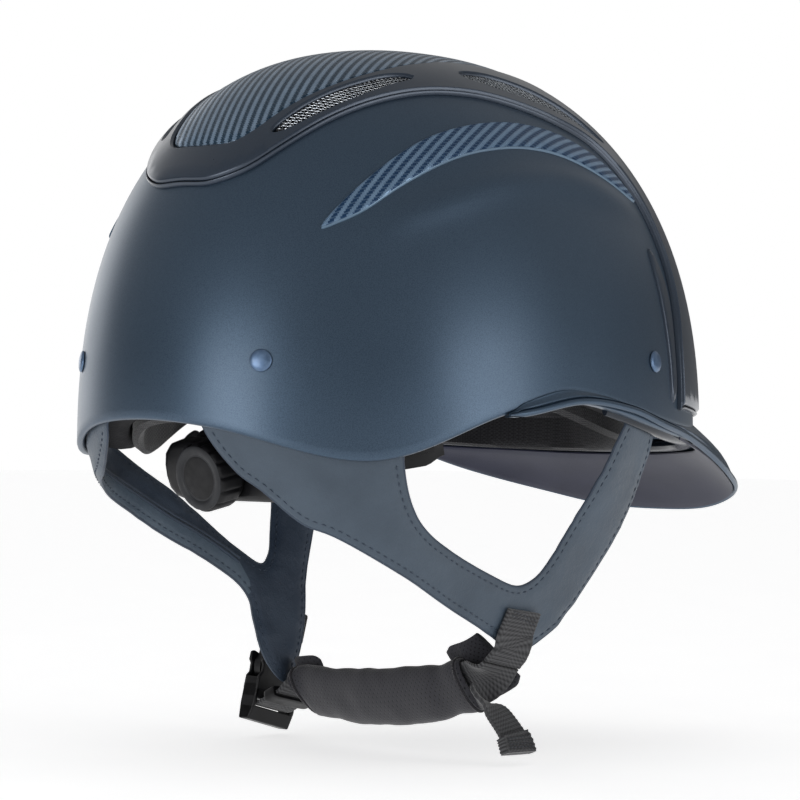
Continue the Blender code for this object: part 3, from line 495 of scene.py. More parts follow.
def stitches(name, path, normals, finish, length, gap, radius, **options):
    """A row of thread stitches along a path, sunk a little at their ends."""
    path = resample(path, length + gap)
    points, faces = [], []
    sides, rings = 6, 5
    last = len(path) - 1
    for i in range(last):
        start, end = Vector(path[i]), Vector(path[i + 1])
        normal = Vector(normals[round(i * (len(normals) - 1) / last)])
        ahead = (end - start).normalized()
        side = ahead.cross(normal).normalized()
        first = len(points)
        for k in range(rings):
            share = k / (rings - 1)
            arch = sin(pi * share)
            centre = start + ahead * length * share + normal * (radius * (1.2 * arch - 0.7))
            size = radius * (0.35 + 0.65 * arch)
            for j in range(sides):
                turn = 2 * pi * j / sides
                points.append(tuple(centre + side * size * cos(turn) + normal * size * sin(turn)))
        faces += tube_faces(first, rings, sides)
    return add_piece(name, points, faces, finish, sharp=60, **options)


# ---------------------------------------------------------------- finishes

class Finish:
    """A procedural material around one Principled shader; sizes are in millimetres."""

    def __init__(self, name, **inputs):
        self.material = bpy.data.materials.new(name)
        self.material.use_nodes = True
        self.tree = self.material.node_tree
        self.shader = self.tree.nodes["Principled BSDF"]
        self.place = self.node("TexCoord").outputs["Object"]
        for key, value in inputs.items():
            self.put(self.shader, key.replace("_", " "), value)

    def put(self, node, key, value):
        socket = node.inputs[key]
        if isinstance(value, bpy.types.NodeSocket):
            self.tree.links.new(value, socket)
        elif socket.type == "RGBA":
            socket.default_value = (*value, 1.0)
        else:
            socket.default_value = value

    def node(self, kind, inputs=None, **settings):
        made = self.tree.nodes.new("ShaderNode" + kind)
        for key, value in settings.items():
            setattr(made, key, value)
        for key, value in (inputs or {}).items():
            self.put(made, key, value)
        return made

    def noise(self, size, detail=2.0, roughness=0.5):
        inputs = {"Vector": self.place, "Scale": 1 / (size * MM), "Detail": detail, "Roughness": roughness}
        return self.node("TexNoise", inputs).outputs[0]

    def cells(self, size, feature="F1"):
        inputs = {"Vector": self.place, "Scale": 1 / (size * MM)}
        return self.node("TexVoronoi", inputs, feature=feature).outputs["Distance"]

    def math(self, operation, first, second=0.0):
        return self.node("Math", {0: first, 1: second}, operation=operation).outputs[0]

    def add(self, first, second):
        return self.math("ADD", first, second)

    def less(self, first, second):
        return self.math("SUBTRACT", first, second)

    def times(self, first, second):
        return self.math("MULTIPLY", first, second)

    def larger(self, first, second):
        return self.math("MAXIMUM", first, second)

    def zigzag(self, value, pitch=None):
        """A value folded to run from 0 to 1 and back, over a pitch each way."""
        if pitch:
            value = self.math("DIVIDE", value, pitch)
        return self.math("PINGPONG", value, 1.0)

    def span(self, value, start, end, low=0.0, high=1.0):
        """A value from start to end turned into low to high."""
        inputs = {"Value": value, "From Min": start, "From Max": end, "To Min": low, "To Max": high}
        return self.node("MapRange", inputs).outputs[0]

    def mix(self, share, first, second):
        made = self.node("Mix", data_type="RGBA")
        self.put(made, 0, share)
        self.put(made, 6, first)
        self.put(made, 7, second)
        return made.outputs[2]

    def colour(self, share, first, second):
        self.put(self.shader, "Base Color", self.mix(share, first, second))

    def rough(self, value, low, high):
        self.put(self.shader, "Roughness", self.span(value, 0.3, 0.7, low, high))

    def bump(self, height, depth, before=None):
        """Relief of a depth in millimetres from a height of 0 to 1."""
        inputs = {"Height": height, "Distance": depth * MM}
        if before:
            inputs["Normal"] = before
        normal = self.node("Bump", inputs).outputs["Normal"]
        self.put(self.shader, "Normal", normal)
        return normal


def metallic_paint(name, dark, light, metallic, roughness, coat, flake):
    made = Finish(name, Metallic=metallic, Coat_Weight=coat, Coat_Roughness=0.3, Coat_IOR=1.5)
    sparkle = made.span(made.noise(0.35, 1.0), 0.35, 0.72)
    broad = made.span(made.noise(45.0, 2.0), 0.3, 0.7)
    made.colour(made.math("MULTIPLY_ADD", sparkle, 0.75), dark, light)
    made.put(made.shader, "Roughness", made.span(made.add(made.noise(0.8), broad), 0.4, 1.6,
                                                roughness - 0.03, roughness + 0.04))
    made.bump(made.noise(0.5, 1.0), flake)
    return made.material


def weave_coordinates(made):
    """Whole bands along u and whole threads along v, from the mesh's weave map."""
    split = made.node("SeparateXYZ", {0: made.node("UVMap", uv_map="weave").outputs[0]})
    return split.outputs[0], split.outputs[1]


def carbon_finish(name, dark, light, hatch):
    """Diagonal bands with saw-tooth edges, and fine threads across each light band."""
    made = Finish(name, Roughness=0.3, Metallic=0.5, Coat_Weight=0.2, Coat_Roughness=0.3)
    u, v = weave_coordinates(made)
    tooth = made.zigzag(made.times(v, 2.0))
    shifted = made.add(u, made.times(tooth, 0.2))
    across = made.zigzag(made.times(shifted, 2.0))
    band = made.span(across, 0.42, 0.6)
    thread = made.span(made.zigzag(made.times(v, 4.0)), 0.0, 0.6, 0.35, 1.0)
    counter = made.zigzag(made.add(made.times(u, 4.0), v))
    quiet = made.times(made.span(counter, 0.55, 0.95), hatch)
    shine = made.larger(made.times(band, thread), quiet)
    patch = made.span(made.noise(6.0, 2.0), 0.3, 0.7, 0.8, 1.0)
    made.colour(made.times(shine, patch), dark, light)
    made.put(made.shader, "Roughness", made.span(shine, 0.0, 1.0, 0.42, 0.24))
    made.bump(made.add(made.times(across, 0.7), made.times(tooth, 0.3)), 0.16)
    return made.material


def leather_finish(name, dark, light, shine):
    made = Finish(name, Specular_IOR_Level=0.45, Sheen_Weight=0.12, Sheen_Roughness=0.4)
    broad = made.noise(24.0, 3.0)
    grain = made.cells(0.75)
    pores = made.noise(0.28, 2.0)
    made.colour(made.span(made.add(broad, made.times(pores, 0.35)), 0.45, 0.9), dark, light)
    made.rough(broad, shine, shine + 0.14)
    fine = made.bump(made.add(made.times(grain, 0.8), pores), 0.07)
    made.bump(made.noise(7.0, 3.0, 0.6), 0.45, fine)
    return made.material


def fabric_finish(name, dark, light, pitch, depth):
    """A close knit: two crossing rows of loops, with fuzz."""
    made = Finish(name, Roughness=0.92, Sheen_Weight=0.4, Sheen_Roughness=0.45, Specular_IOR_Level=0.2)
    split = made.node("SeparateXYZ", {0: made.place})
    rows = []
    for first, second in ((0, 2), (1, 2)):
        total = made.add(split.outputs[first], split.outputs[second])
        other = made.less(split.outputs[first], split.outputs[second])
        rows.append(made.zigzag(total, pitch * MM))
        rows.append(made.zigzag(other, pitch * MM))
    knit = made.times(made.larger(rows[0], rows[1]), made.larger(rows[2], rows[3]))
    hair = made.noise(0.3, 3.0)
    made.colour(made.span(made.add(knit, hair), 0.5, 1.4), dark, light)
    made.bump(made.add(knit, made.times(hair, 0.6)), depth)
    return made.material


def perforated_finish(name, dark, light, pitch):
    """Spacer mesh with rows of small holes, from the mesh's weave map in millimetres."""
    made = Finish(name, Roughness=0.93, Sheen_Weight=0.3, Sheen_Roughness=0.5, Specular_IOR_Level=0.2)
    u, v = weave_coordinates(made)
    first = made.zigzag(made.add(u, v), pitch)
    second = made.zigzag(made.less(u, v), pitch)
    hole = made.times(made.span(first, 0.5, 0.95), made.span(second, 0.5, 0.95))
    hair = made.noise(0.35, 3.0)
    solid = made.less(made.add(0.35, hair), hole)
    made.colour(made.span(solid, 0.1, 1.0), dark, light)
    made.bump(made.less(made.times(hair, 0.4), hole), 0.12)
    return made.material


def webbing_finish(name, dark, light):
    """Woven tape: ribs across it and a chevron of threads, from the mesh's weave map."""
    made = Finish(name, Roughness=0.72, Sheen_Weight=0.35, Sheen_Roughness=0.35, Specular_IOR_Level=0.35)
    u, v = weave_coordinates(made)
    rib = made.zigzag(made.times(v, 2.0))
    slant = made.add(made.math("PINGPONG", u, 4.0), v)
    thread = made.zigzag(made.times(slant, 2.0))
    hair = made.noise(0.25, 3.0)
    weave = made.add(made.times(rib, 0.6), made.times(thread, 0.4))
    made.colour(made.span(made.add(weave, made.times(hair, 0.5)), 0.35, 1.2), dark, light)
    made.bump(made.add(weave, made.times(hair, 0.3)), 0.14)
    return made.material


def moulded_finish(name, dark, light, roughness, texture=0.012):
    """Moulded plastic: fine spark texture, faint flow marks and slightly duller patches."""
    made = Finish(name, Specular_IOR_Level=0.28)
    flow = made.noise(9.0, 3.0)
    made.colour(made.span(flow, 0.35, 0.7), dark, light)
    made.rough(made.noise(3.0, 3.0), roughness - 0.05, roughness + 0.1)
    made.bump(made.noise(0.22, 2.0), texture)
    return made.material


def plain_nap(name, dark, light, size, depth, sheen):
    """Suede, flocking or foam: short nap in patches."""
    made = Finish(name, Roughness=0.94, Sheen_Weight=sheen, Sheen_Roughness=0.5, Specular_IOR_Level=0.15)
    nap = made.noise(size, 4.0, 0.6)
    patch = made.noise(14.0, 3.0)
    made.colour(made.span(made.add(nap, patch), 0.7, 1.3), dark, light)
    made.bump(nap, depth)
    return made.material


def foam_finish(name):
    made = Finish(name, Roughness=0.82, Specular_IOR_Level=0.3)
    bead = made.cells(3.2)
    seam = made.cells(3.2, "DISTANCE_TO_EDGE")
    made.colour(made.span(bead, 0.1, 0.9), (0.012, 0.012, 0.014), (0.024, 0.024, 0.027))
    made.bump(made.span(seam, 0.0, 0.12), 0.12)
    return made.material


def wire_finish(name):
    made = Finish(name, Metallic=1.0, Roughness=0.3)
    wear = made.noise(1.4, 2.0)
    made.colour(made.span(wear, 0.35, 0.65), (0.3, 0.33, 0.37), (0.62, 0.65, 0.68))
    made.rough(wear, 0.25, 0.42)
    return made.material


def rivet_finish(name):
    made = Finish(name, Metallic=0.75, Coat_Weight=0.4, Coat_Roughness=0.15)
    wear = made.noise(2.2, 3.0)
    made.colour(made.span(wear, 0.4, 0.65), (0.085, 0.145, 0.25), (0.12, 0.19, 0.30))
    made.rough(wear, 0.34, 0.46)
    made.bump(made.noise(0.4, 2.0), 0.01)
    return made.material


SHELL_PAINT = metallic_paint("shell paint", (0.022, 0.042, 0.074), (0.060, 0.098, 0.148), 0.8, 0.40, 0.35,
                             0.006)
FRAME_PAINT = metallic_paint("frame paint", (0.011, 0.022, 0.042), (0.022, 0.038, 0.064), 0.5, 0.3, 0.6,
                             0.003)
# A lighter navy for the band round each side inlay's edge: a painted highlight along the rim.
RIM_HIGHLIGHT_PAINT = metallic_paint("inlay rim highlight", (0.06, 0.11, 0.17), (0.10, 0.17, 0.25), 0.6, 0.3, 0.6, 0.003)
GROOVE_SHADOW = plain_nap("groove shadow", (0.002, 0.002, 0.003), (0.005, 0.005, 0.006), 0.6, 0.02, 0.0)
CROWN_CARBON = carbon_finish("crown carbon", (0.004, 0.032, 0.066), (0.27, 0.38, 0.52), 0.12)
SIDE_CARBON = carbon_finish("side carbon", (0.003, 0.035, 0.100), (0.22, 0.34, 0.49), 0.3)
WIRE = wire_finish("vent wire")
RIVET = rivet_finish("rivet metal")
FOAM = foam_finish("liner foam")
SUEDE = plain_nap("peak suede", (0.014, 0.016, 0.036), (0.025, 0.028, 0.054), 0.5, 0.05, 0.35)
LINER = fabric_finish("liner fabric", (0.010, 0.010, 0.012), (0.030, 0.030, 0.034), 0.8, 0.12)
LEATHER = leather_finish("harness leather", (0.038, 0.058, 0.084), (0.064, 0.091, 0.125), 0.42)
# The wrap is the outer leather folded inwards; this copy is painted lighter, as painted light on the shaded
# inside.
LIT_WRAP_LEATHER = leather_finish("harness wrap painted lighter", (0.062, 0.092, 0.130), (0.105, 0.145, 0.190), 0.42)
LEATHER_BACK = leather_finish("harness lining", (0.026, 0.040, 0.066), (0.042, 0.062, 0.094), 0.45)
THREAD = leather_finish("harness thread", (0.024, 0.038, 0.060), (0.038, 0.056, 0.086), 0.6)
WEBBING = webbing_finish("webbing tape", (0.014, 0.014, 0.016), (0.088, 0.089, 0.094))
STITCHING = leather_finish("strap thread", (0.03, 0.032, 0.038), (0.06, 0.064, 0.075), 0.65)
SLEEVE = perforated_finish("pad mesh", (0.004, 0.004, 0.006), (0.036, 0.036, 0.043), 1.3)
PAD_EDGE = fabric_finish("pad binding", (0.012, 0.012, 0.014), (0.034, 0.032, 0.038), 0.5, 0.1)
PLASTIC = moulded_finish("black plastic", (0.005, 0.005, 0.006), (0.010, 0.010, 0.012), 0.34)
RUBBER = moulded_finish("dial rubber", (0.004, 0.004, 0.005), (0.008, 0.008, 0.010), 0.46, 0.03)
GREY_FACE = moulded_finish("dial face", (0.016, 0.017, 0.020), (0.026, 0.028, 0.032), 0.4)
GLOSS = moulded_finish("gloss trim", (0.010, 0.014, 0.022), (0.018, 0.024, 0.034), 0.16, 0.004)


# ---------------------------------------------------------------- shell, liner and panels

def vent_loops(side, step=1.0):
    return [spline(sided(vent, side), step) for vent in (REAR_VENT, FRONT_VENT)]


def all_vents(step=1.0):
    return [loop for side in (-1, 1) for loop in vent_loops(side, step)]


def domed_shell(name, azimuths, rings, outer, inner, lift, edge_radius, holes, finish, **options):
    """A dome shell with a round lower edge; cells inside the holes are left open."""
    turn = np.radians(np.arange(azimuths) * 360 / azimuths)
    ahead = np.stack([np.sin(turn), -np.cos(turn)], -1)
    level = rim_height((np.degrees(turn) + 180) % 360 - 180) + lift
    rim = on_map(np.degrees((turn + pi) % (2 * pi) - pi), level)
    rim_tilt = np.hypot(rim[:, 0], rim[:, 1])
    edge = degrees(edge_radius / HEIGHT)
    share = (np.arange(1, rings + 1) / rings)**0.95
    tilts = share[:, None] * (rim_tilt - edge)[None]
    flat = tilts[..., None] * ahead[None]
    shells = [dome(flat, offset(flat)) for offset in (outer, inner)]
    middle = (outer(flat[-1:]) + inner(flat[-1:])) / 2
    half = (outer(flat[-1:]) - inner(flat[-1:])) / 2
    rounds = []
    for k in range(1, 6):
        bend = pi * k / 6
        lip = (rim_tilt - edge + edge * sin(bend))[None, :, None] * ahead[None]
        rounds.append(dome(lip, middle + half * cos(bend))[0])
    centre = [dome(np.zeros((1, 2)), offset(np.zeros((1, 2))))[0] for offset in (outer, inner)]
    columns = [*shells[0], *rounds, *shells[1][::-1]]
    points = np.concatenate([np.array(columns).reshape(-1, 3), np.array(centre)])
    cells = ((tilts[1:] + tilts[:-1]) / 2)[..., None] * ahead[None]
    next_cells = (cells + np.roll(cells, -1, 1)) / 2
    open_cells = np.zeros(next_cells.shape[:2], bool)
    for hole in holes:
        open_cells |= inside(next_cells.reshape(-1, 2), hole).reshape(open_cells.shape)
    faces = []
    total = len(columns)
    top, bottom = total * azimuths, total * azimuths + 1
    index = (lambda row, i: row * azimuths + i % azimuths)
    for row in range(total - 1):
        upper = row < rings - 1
        lower = row > rings + 4
        mask_row = row if upper else total - 2 - row
        for i in range(azimuths):
            if (upper or lower) and open_cells[mask_row, i]:
                continue
            faces.append((index(row, i), index(row + 1, i), index(row + 1, i + 1), index(row, i + 1)))
    for i in range(azimuths):
        faces.append((top, index(0, i), index(0, i + 1)))
        faces.append((bottom, index(total - 1, i + 1), index(total - 1, i)))
    flip = (lambda i: (total - 1 - i // azimuths) * azimuths + i % azimuths)
    faces += [(b, a, flip(a), flip(b)) for a, b in open_edges(faces) if a // azimuths < rings]
    used = sorted({i for face in faces for i in face})
    renumbered = {old: new for new, old in enumerate(used)}
    faces = [tuple(renumbered[i] for i in face) for face in faces]
    return add_piece(name, points[used], faces, finish, **options)


def crease_relief(flat):
    """The soft crease below each side inlay, fading at both ends."""
    across = np.abs(flat[..., 0])
    folded = np.stack([across, flat[..., 1]], -1).reshape(-1, 2)
    line = spline(CREASE, 2.0, closed=False)
    near = distance_to(folded, [line], closed=False).reshape(across.shape)
    fade = smooth_step(flat[..., 1], -40, -18) * (1 - smooth_step(flat[..., 1], 36, 50))
    return CREASE_RISE * np.exp(-(near / CREASE_WIDTH)**2) * fade


def build_shell():
    holes = [scaled(loop, 0.95) for loop in all_vents(2.0)]

    def level(offset):
        return lambda flat: np.full(flat.shape[:-1], offset)

    def foam_outer(flat):
        tilt = np.hypot(flat[..., 0], flat[..., 1])
        return -4.2 - 3.4 * np.clip((tilt - 60) / 8, 0, 1)
    domed_shell("shell_skin", 288, 84, crease_relief, level(-SHELL_THICKNESS), 0.0, 1.4, holes, SHELL_PAINT,
                replaces=("outer_shell",))
    domed_shell("liner_foam", 180, 48, foam_outer, level(LINER_INSIDE), 2.5, 3.0, holes, FOAM,
                replaces=("impact_liner",))


def with_mirror(half, step):
    """A loop from its half on the wearer's left."""
    return resample(np.concatenate([half, mirrored(half)[1:-1]]), step, closed=True)


def frame_outline(step):
    bottom_turn = np.linspace(0, FRAME_FRONT_AZIMUTH, 30)[:-1]
    bottom = on_map(bottom_turn, rim_height(bottom_turn) + FRAME_ABOVE_RIM)
    half = np.concatenate([bottom, spline(FRAME_SIDE, step, closed=False)])
    return with_mirror(half, step)


def crown_inlay_outline(step):
    return with_mirror(spline(CROWN_INLAY_SIDE, step, closed=False), step)


BEAD_PROFILE = [(0, 0.75), (0.1, 1.5), (0.22, 1.75), (0.34, 1.6), (0.42, 1.15), (0.58, 1.15), (0.68, 2.1),
                (0.92, 2.6), (9, 2.6)]
LIP_PROFILE = [(0, 1.3), (0.14, 2.1), (0.38, 2.6), (9, 2.6)]
INLAY_PROFILE = [(0, 0.75), (0.12, 1.35), (0.26, 1.5), (0.36, 1.5), (0.5, 1.8), (9, 1.9)]
FLUSH_PROFILE = [(0, -0.05), (0.1, 0.6), (0.22, 0.82), (0.32, 0.75), (0.46, 1.0), (9, 1.2)]


def stepped(profile, distance):
    return np.interp(distance, [knot[0] for knot in profile], [knot[1] for knot in profile])


def insets(loop, profile):
    return [shrunk(loop, distance) for distance, _ in profile[1:-1]]


def paint_faces(piece, finish, chosen):
    """A second finish on the faces that a test picks."""
    piece.data.materials.append(finish)
    for face in piece.data.polygons:
        if chosen(face):
            face.material_index = len(piece.data.materials) - 1


def weave_map(piece, places):
    """The weave map from each vertex's (band, thread) place."""
    layer = piece.data.uv_layers.new(name="weave")
    for loop in piece.data.loops:
        layer.data[loop.index].uv = places[loop.vertex_index]


def build_frame_panel():
    outline = frame_outline(1.2)
    inlay = crown_inlay_outline(1.2)
    vents = all_vents(0.8)
    holes = [inlay, *vents]

    def height(flat, edge):
        return np.minimum(stepped(BEAD_PROFILE, distance_to(flat, [outline])),
                          stepped(LIP_PROFILE, distance_to(flat, holes)))
    rings = insets(outline, BEAD_PROFILE)
    for hole in holes:
        rings += [shrunk(hole, -distance) for distance, _ in LIP_PROFILE[1:-1]]
    made, flat = skin("crown_frame", outline, holes, 1.7, dome, height, lambda flat, edge: 0.1, FRAME_PAINT,
                      rings=rings, replaces=("top_frame",))
    gap = distance_to(flat, [outline])
    count = len(flat)
    low, high = 0.38, 0.62

    def in_groove(face):
        return all(i < count and low < gap[i] < high for i in face.vertices)
    # The groove inside the frame's bead is painted near-black as painted shadow.
    paint_faces(made, GROOVE_SHADOW, in_groove)


def crown_bands(flat):
    """Bands slanting forwards to the left across the crown."""
    slant = radians(CROWN_SLANT)
    band = flat[:, 0] * cos(slant) + flat[:, 1] * sin(slant)
    thread = flat[:, 1] * cos(slant) - flat[:, 0] * sin(slant)
    return np.stack([band / CROWN_PITCH, thread / CROWN_THREAD], -1)


def side_bands(flat):
    """Bands that turn from lengthwise at the rear to slanting at the front."""
    across, along = np.abs(flat[:, 0]), flat[:, 1]
    ahead = np.clip(46 - along, 0, None) / 44
    band = across + 7.2 * ahead**2.4
    return np.stack([band / SIDE_PITCH, along / SIDE_THREAD], -1)


def build_inlay(name, loop, step, bands, finish, trim, node, profile=FLUSH_PROFILE):
    made, flat = skin(name, loop, [], step, dome, lambda flat, edge: stepped(profile, edge),
                      lambda flat, edge: profile[0][1] - INLAY_THICKNESS, finish,
                      rings=insets(loop, profile), replaces=(node,))
    count = len(flat)
    weave_map(made, np.tile(bands(flat), (2, 1)))
    edge = np.tile(distance_to(flat, [loop]), 2)
    # Faces along the edge take the trim finish: frame paint on most inlays, a painted highlight round the
    # side inlays.
    paint_faces(made, trim, lambda face: max(edge[i] for i in face.vertices) < TRIM_WIDTH
                or min(face.vertices) >= count)


def build_panels():
    build_frame_panel()
    inlay = shrunk(crown_inlay_outline(1.2), 0.22)
    build_inlay("crown_weave", inlay, 1.8, crown_bands, CROWN_CARBON, FRAME_PAINT, "crown_inlay",
                profile=INLAY_PROFILE)
    for side, label in ((1, "left"), (-1, "right")):
        loop = resample(spline(sided(SIDE_INLAY, side), 0.8), 0.8, closed=True)
        build_inlay(f"side_weave_{label}", loop, 1.2, side_bands, SIDE_CARBON, RIM_HIGHLIGHT_PAINT,
                    f"side_inlay_{label}")
        loop = resample(spline(sided(FRONT_BLADE, side), 0.8), 0.8, closed=True)
        build_inlay(f"front_trim_{label}", loop, 1.2, side_bands, FRAME_PAINT, FRAME_PAINT,
                    f"front_blade_{label}")
        for vent, end in zip(vent_loops(side), ("rear", "front")):
            build_vent(f"{end}_{label}", vent)


def build_vent(label, loop):
    """A dark duct and a knitted wire mesh across it."""
    wall = scaled(loop, 0.96)
    inner = scaled(loop, 0.9)
    levels = (1.2, -4.0, -12.0, -20.8)
    sections = [dome(wall, level) for level in levels] + [dome(inner, level) for level in levels[::-1]]
    loft(f"vent_duct_{label}", sections, FOAM, closed=True)
    add_wires(f"wire_{label}", scaled(loop, 0.97), f"vent_mesh_{label}")


def add_wires(name, loop, node):
    """Two crossing families of wavy wires, clipped to a loop on the crown map."""
    spacing, sample, radius, sides = 0.62, 0.13, 0.17, 5
    middle = loop.mean(0)
    reach = np.linalg.norm(loop - middle, axis=1).max()
    axis = loop[np.argmax(np.linalg.norm(loop - middle, axis=1))] - middle
    axis /= np.linalg.norm(axis)
    points, faces = [], []
    for family in (-1, 1):
        turn = family * radians(50)
        ahead = np.array((axis[0] * cos(turn) - axis[1] * sin(turn),
                          axis[0] * sin(turn) + axis[1] * cos(turn)))
        side = np.array((-ahead[1], ahead[0]))
        for k in range(-int(reach / spacing), int(reach / spacing) + 1):
            t = np.arange(-reach, reach, sample)
            line = middle + side * spacing * k + ahead * t[:, None]
            kept = inside(line, loop)
            starts = np.flatnonzero(kept & ~np.roll(kept, 1))
            for start in starts:
                end = start
                while end < len(kept) and kept[end]:
                    end += 1
                if end - start < 3:
                    continue
                run = line[start:end]
                wave = family * 0.16 * np.sin(pi * t[start:end] / spacing + pi * k)
                centre = dome(run, 1.05 + wave)
                tangent = np.gradient(centre, axis=0)
                tangent /= np.linalg.norm(tangent, axis=1)[:, None]
                normal = dome(run, 2.0) - dome(run, 1.0)
                across = np.cross(tangent, normal)
                across /= np.linalg.norm(across, axis=1)[:, None]
                up = np.cross(across, tangent)
                first = len(points)
                for i in range(len(run)):
                    for j in range(sides):
                        a = 2 * pi * j / sides
                        points.append(centre[i] + radius * (across[i] * cos(a) + up[i] * sin(a)))
                faces += tube_faces(first, len(run), sides)
    add_piece(name, points, faces, WIRE, replaces=(node,), sharp=70)


# ---------------------------------------------------------------- peak

def out_from_shell(azimuth, reach, height):
    turn = np.radians(azimuth)
    radius = plan_radius(turn, 0.0) + reach
    return around(turn, radius, np.broadcast_to(height, radius.shape))


def peak_profile(azimuth):
    """The peak's section as (reach, height): smooth top, round bead, and underside."""
    reach = float(interpolate(PEAK_KNOTS, abs(azimuth), 1))
    edge = float(interpolate(PEAK_KNOTS, abs(azimuth), 2))
    rim = float(rim_height(azimuth))
    top = rim + min(6.0, 1.5 + reach * 0.25)
    half = PEAK_THICKNESS / 2
    bead = min(1.0, reach / 6) * 0.5
    middle = (top + edge + half) / 2 + 0.07 * reach
    upper = [(0.3, top), (reach * 0.26, (top + middle) / 2 + 0.03 * reach), (reach * 0.55, middle),
             (reach * 0.8, (middle + edge + half) / 2 + 0.02 * reach),
             (reach - 1.4, edge + half + 0.25)]
    upper = spline(upper, max(0.35, reach / 14), closed=False)
    upper = resample(upper, count=15)
    bends = [radians(90 - 30 * k) for k in range(7)]
    tip = [(reach - half + (half + bead * 0.2) * cos(bend), edge + (half + bead) * sin(bend))
           for bend in bends]
    low_middle = (rim + edge) / 2 - PEAK_THICKNESS + 0.07 * reach
    lower = spline([(reach - 1.5, edge - half), (reach * 0.5, low_middle),
                    (0.5, rim - 0.5 - PEAK_THICKNESS)], max(0.35, reach / 14), closed=False)
    lower = resample(lower, count=13)
    back = np.array([(-1.6, rim - 0.7 - PEAK_THICKNESS), (-2.7, rim - 0.4 - PEAK_THICKNESS),
                     (-3.0, rim - PEAK_THICKNESS), (-3.0, rim - 0.9), (-2.8, rim - 0.45),
                     (0.3, rim - 0.45)])
    return np.concatenate([upper, tip, lower, back])


def build_peak():
    azimuths = np.linspace(-PEAK_END, PEAK_END, 217)
    sections = []
    for azimuth in azimuths:
        profile = peak_profile(azimuth)
        end = smooth_step(abs(azimuth), PEAK_END, PEAK_END - 4)
        centre = profile.mean(0)
        squeeze = 0.35 + 0.65 * float(end)
        profile = np.stack([profile[:, 0], centre[1] + (profile[:, 1] - centre[1]) * squeeze], 1)
        sections.append(out_from_shell(np.full(len(profile), azimuth), profile[:, 0], profile[:, 1]))
    loft("peak_skin", sections, SHELL_PAINT, replaces=("peak",))

    lining = []
    for azimuth in np.linspace(-52, 52, 105):
        reach = float(interpolate(PEAK_KNOTS, abs(azimuth), 1))
        edge = float(interpolate(PEAK_KNOTS, abs(azimuth), 2))
        rim = float(rim_height(azimuth))
        start, end = 1.0, max(1.6, reach - 2.4)
        out = np.linspace(start, end, 16)
        low = (rim - 0.5 - PEAK_THICKNESS) + (edge - rim + 0.5) * (out + 3) / (reach + 3)
        sag = 0.055 * reach * np.sin(pi * (out - start) / (end - start))
        pillow = 0.7 * np.clip(np.sin(pi * (out - start) / (end - start)), 0.0, 1.0)**0.4
        under = np.stack([out, low + sag - 0.35 - pillow], 1)
        above = np.stack([out, low + sag + 0.2], 1)[::-1]
        profile = np.concatenate([under, above])
        lining.append(out_from_shell(np.full(len(profile), azimuth), profile[:, 0], profile[:, 1]))
    loft("peak_suede", lining, SUEDE, replaces=("peak_lining",))

    ring = []
    for azimuth in np.linspace(-78, 78, 157):
        rim = float(rim_height(azimuth))
        wide = 2.2 * float(smooth_step(abs(azimuth), 80, 55)) + 1.2
        bend = 2 * pi * np.arange(12) / 12
        ring.append(out_from_shell(np.full(12, azimuth), -3.2 + wide * np.cos(bend),
                                   rim - 2.6 + 2.3 * np.sin(bend)))
    loft("rim_ring", ring, GLOSS)


# ---------------------------------------------------------------- head pads

def settle(piece, voxel, pressure, cap):
    """Swell a closed pad with a short cloth simulation, and keep each point within cap millimetres."""
    remesh = piece.modifiers.new("remesh", "REMESH")
    remesh.mode = "VOXEL"
    remesh.voxel_size = voxel * MM
    apply_modifiers(piece)
    start = np.array([vertex.co[:] for vertex in piece.data.vertices])
    cloth = piece.modifiers.new("swell", "CLOTH")
    cloth.settings.use_pressure = True
    cloth.settings.uniform_pressure_force = pressure
    cloth.settings.effector_weights.gravity = 0.0
    cloth.settings.quality = 4
    cloth.point_cache.frame_start, cloth.point_cache.frame_end = 1, 20
    scene = bpy.context.scene
    for step in range(1, 21):
        scene.frame_set(step)
    shape = piece.evaluated_get(bpy.context.evaluated_depsgraph_get())
    settled = np.array([vertex.co[:] for vertex in shape.data.vertices])
    scene.frame_set(1)
    piece.modifiers.remove(cloth)
    move = settled - start
    length = np.linalg.norm(move, axis=1)[:, None]
    limit = cap * MM
    move *= np.minimum(1.0, limit / np.maximum(length, 1e-9))
    for vertex, place in zip(piece.data.vertices, start + move):
        vertex.co = place
    rounder = piece.modifiers.new("smooth", "SUBSURF")
    rounder.levels = rounder.render_levels = 1
    apply_modifiers(piece)
    piece.data.shade_smooth()


def apply_modifiers(piece):
    shape = piece.evaluated_get(bpy.context.evaluated_depsgraph_get())
    mesh = bpy.data.meshes.new_from_object(shape)
    piece.modifiers.clear()
    piece.data = mesh


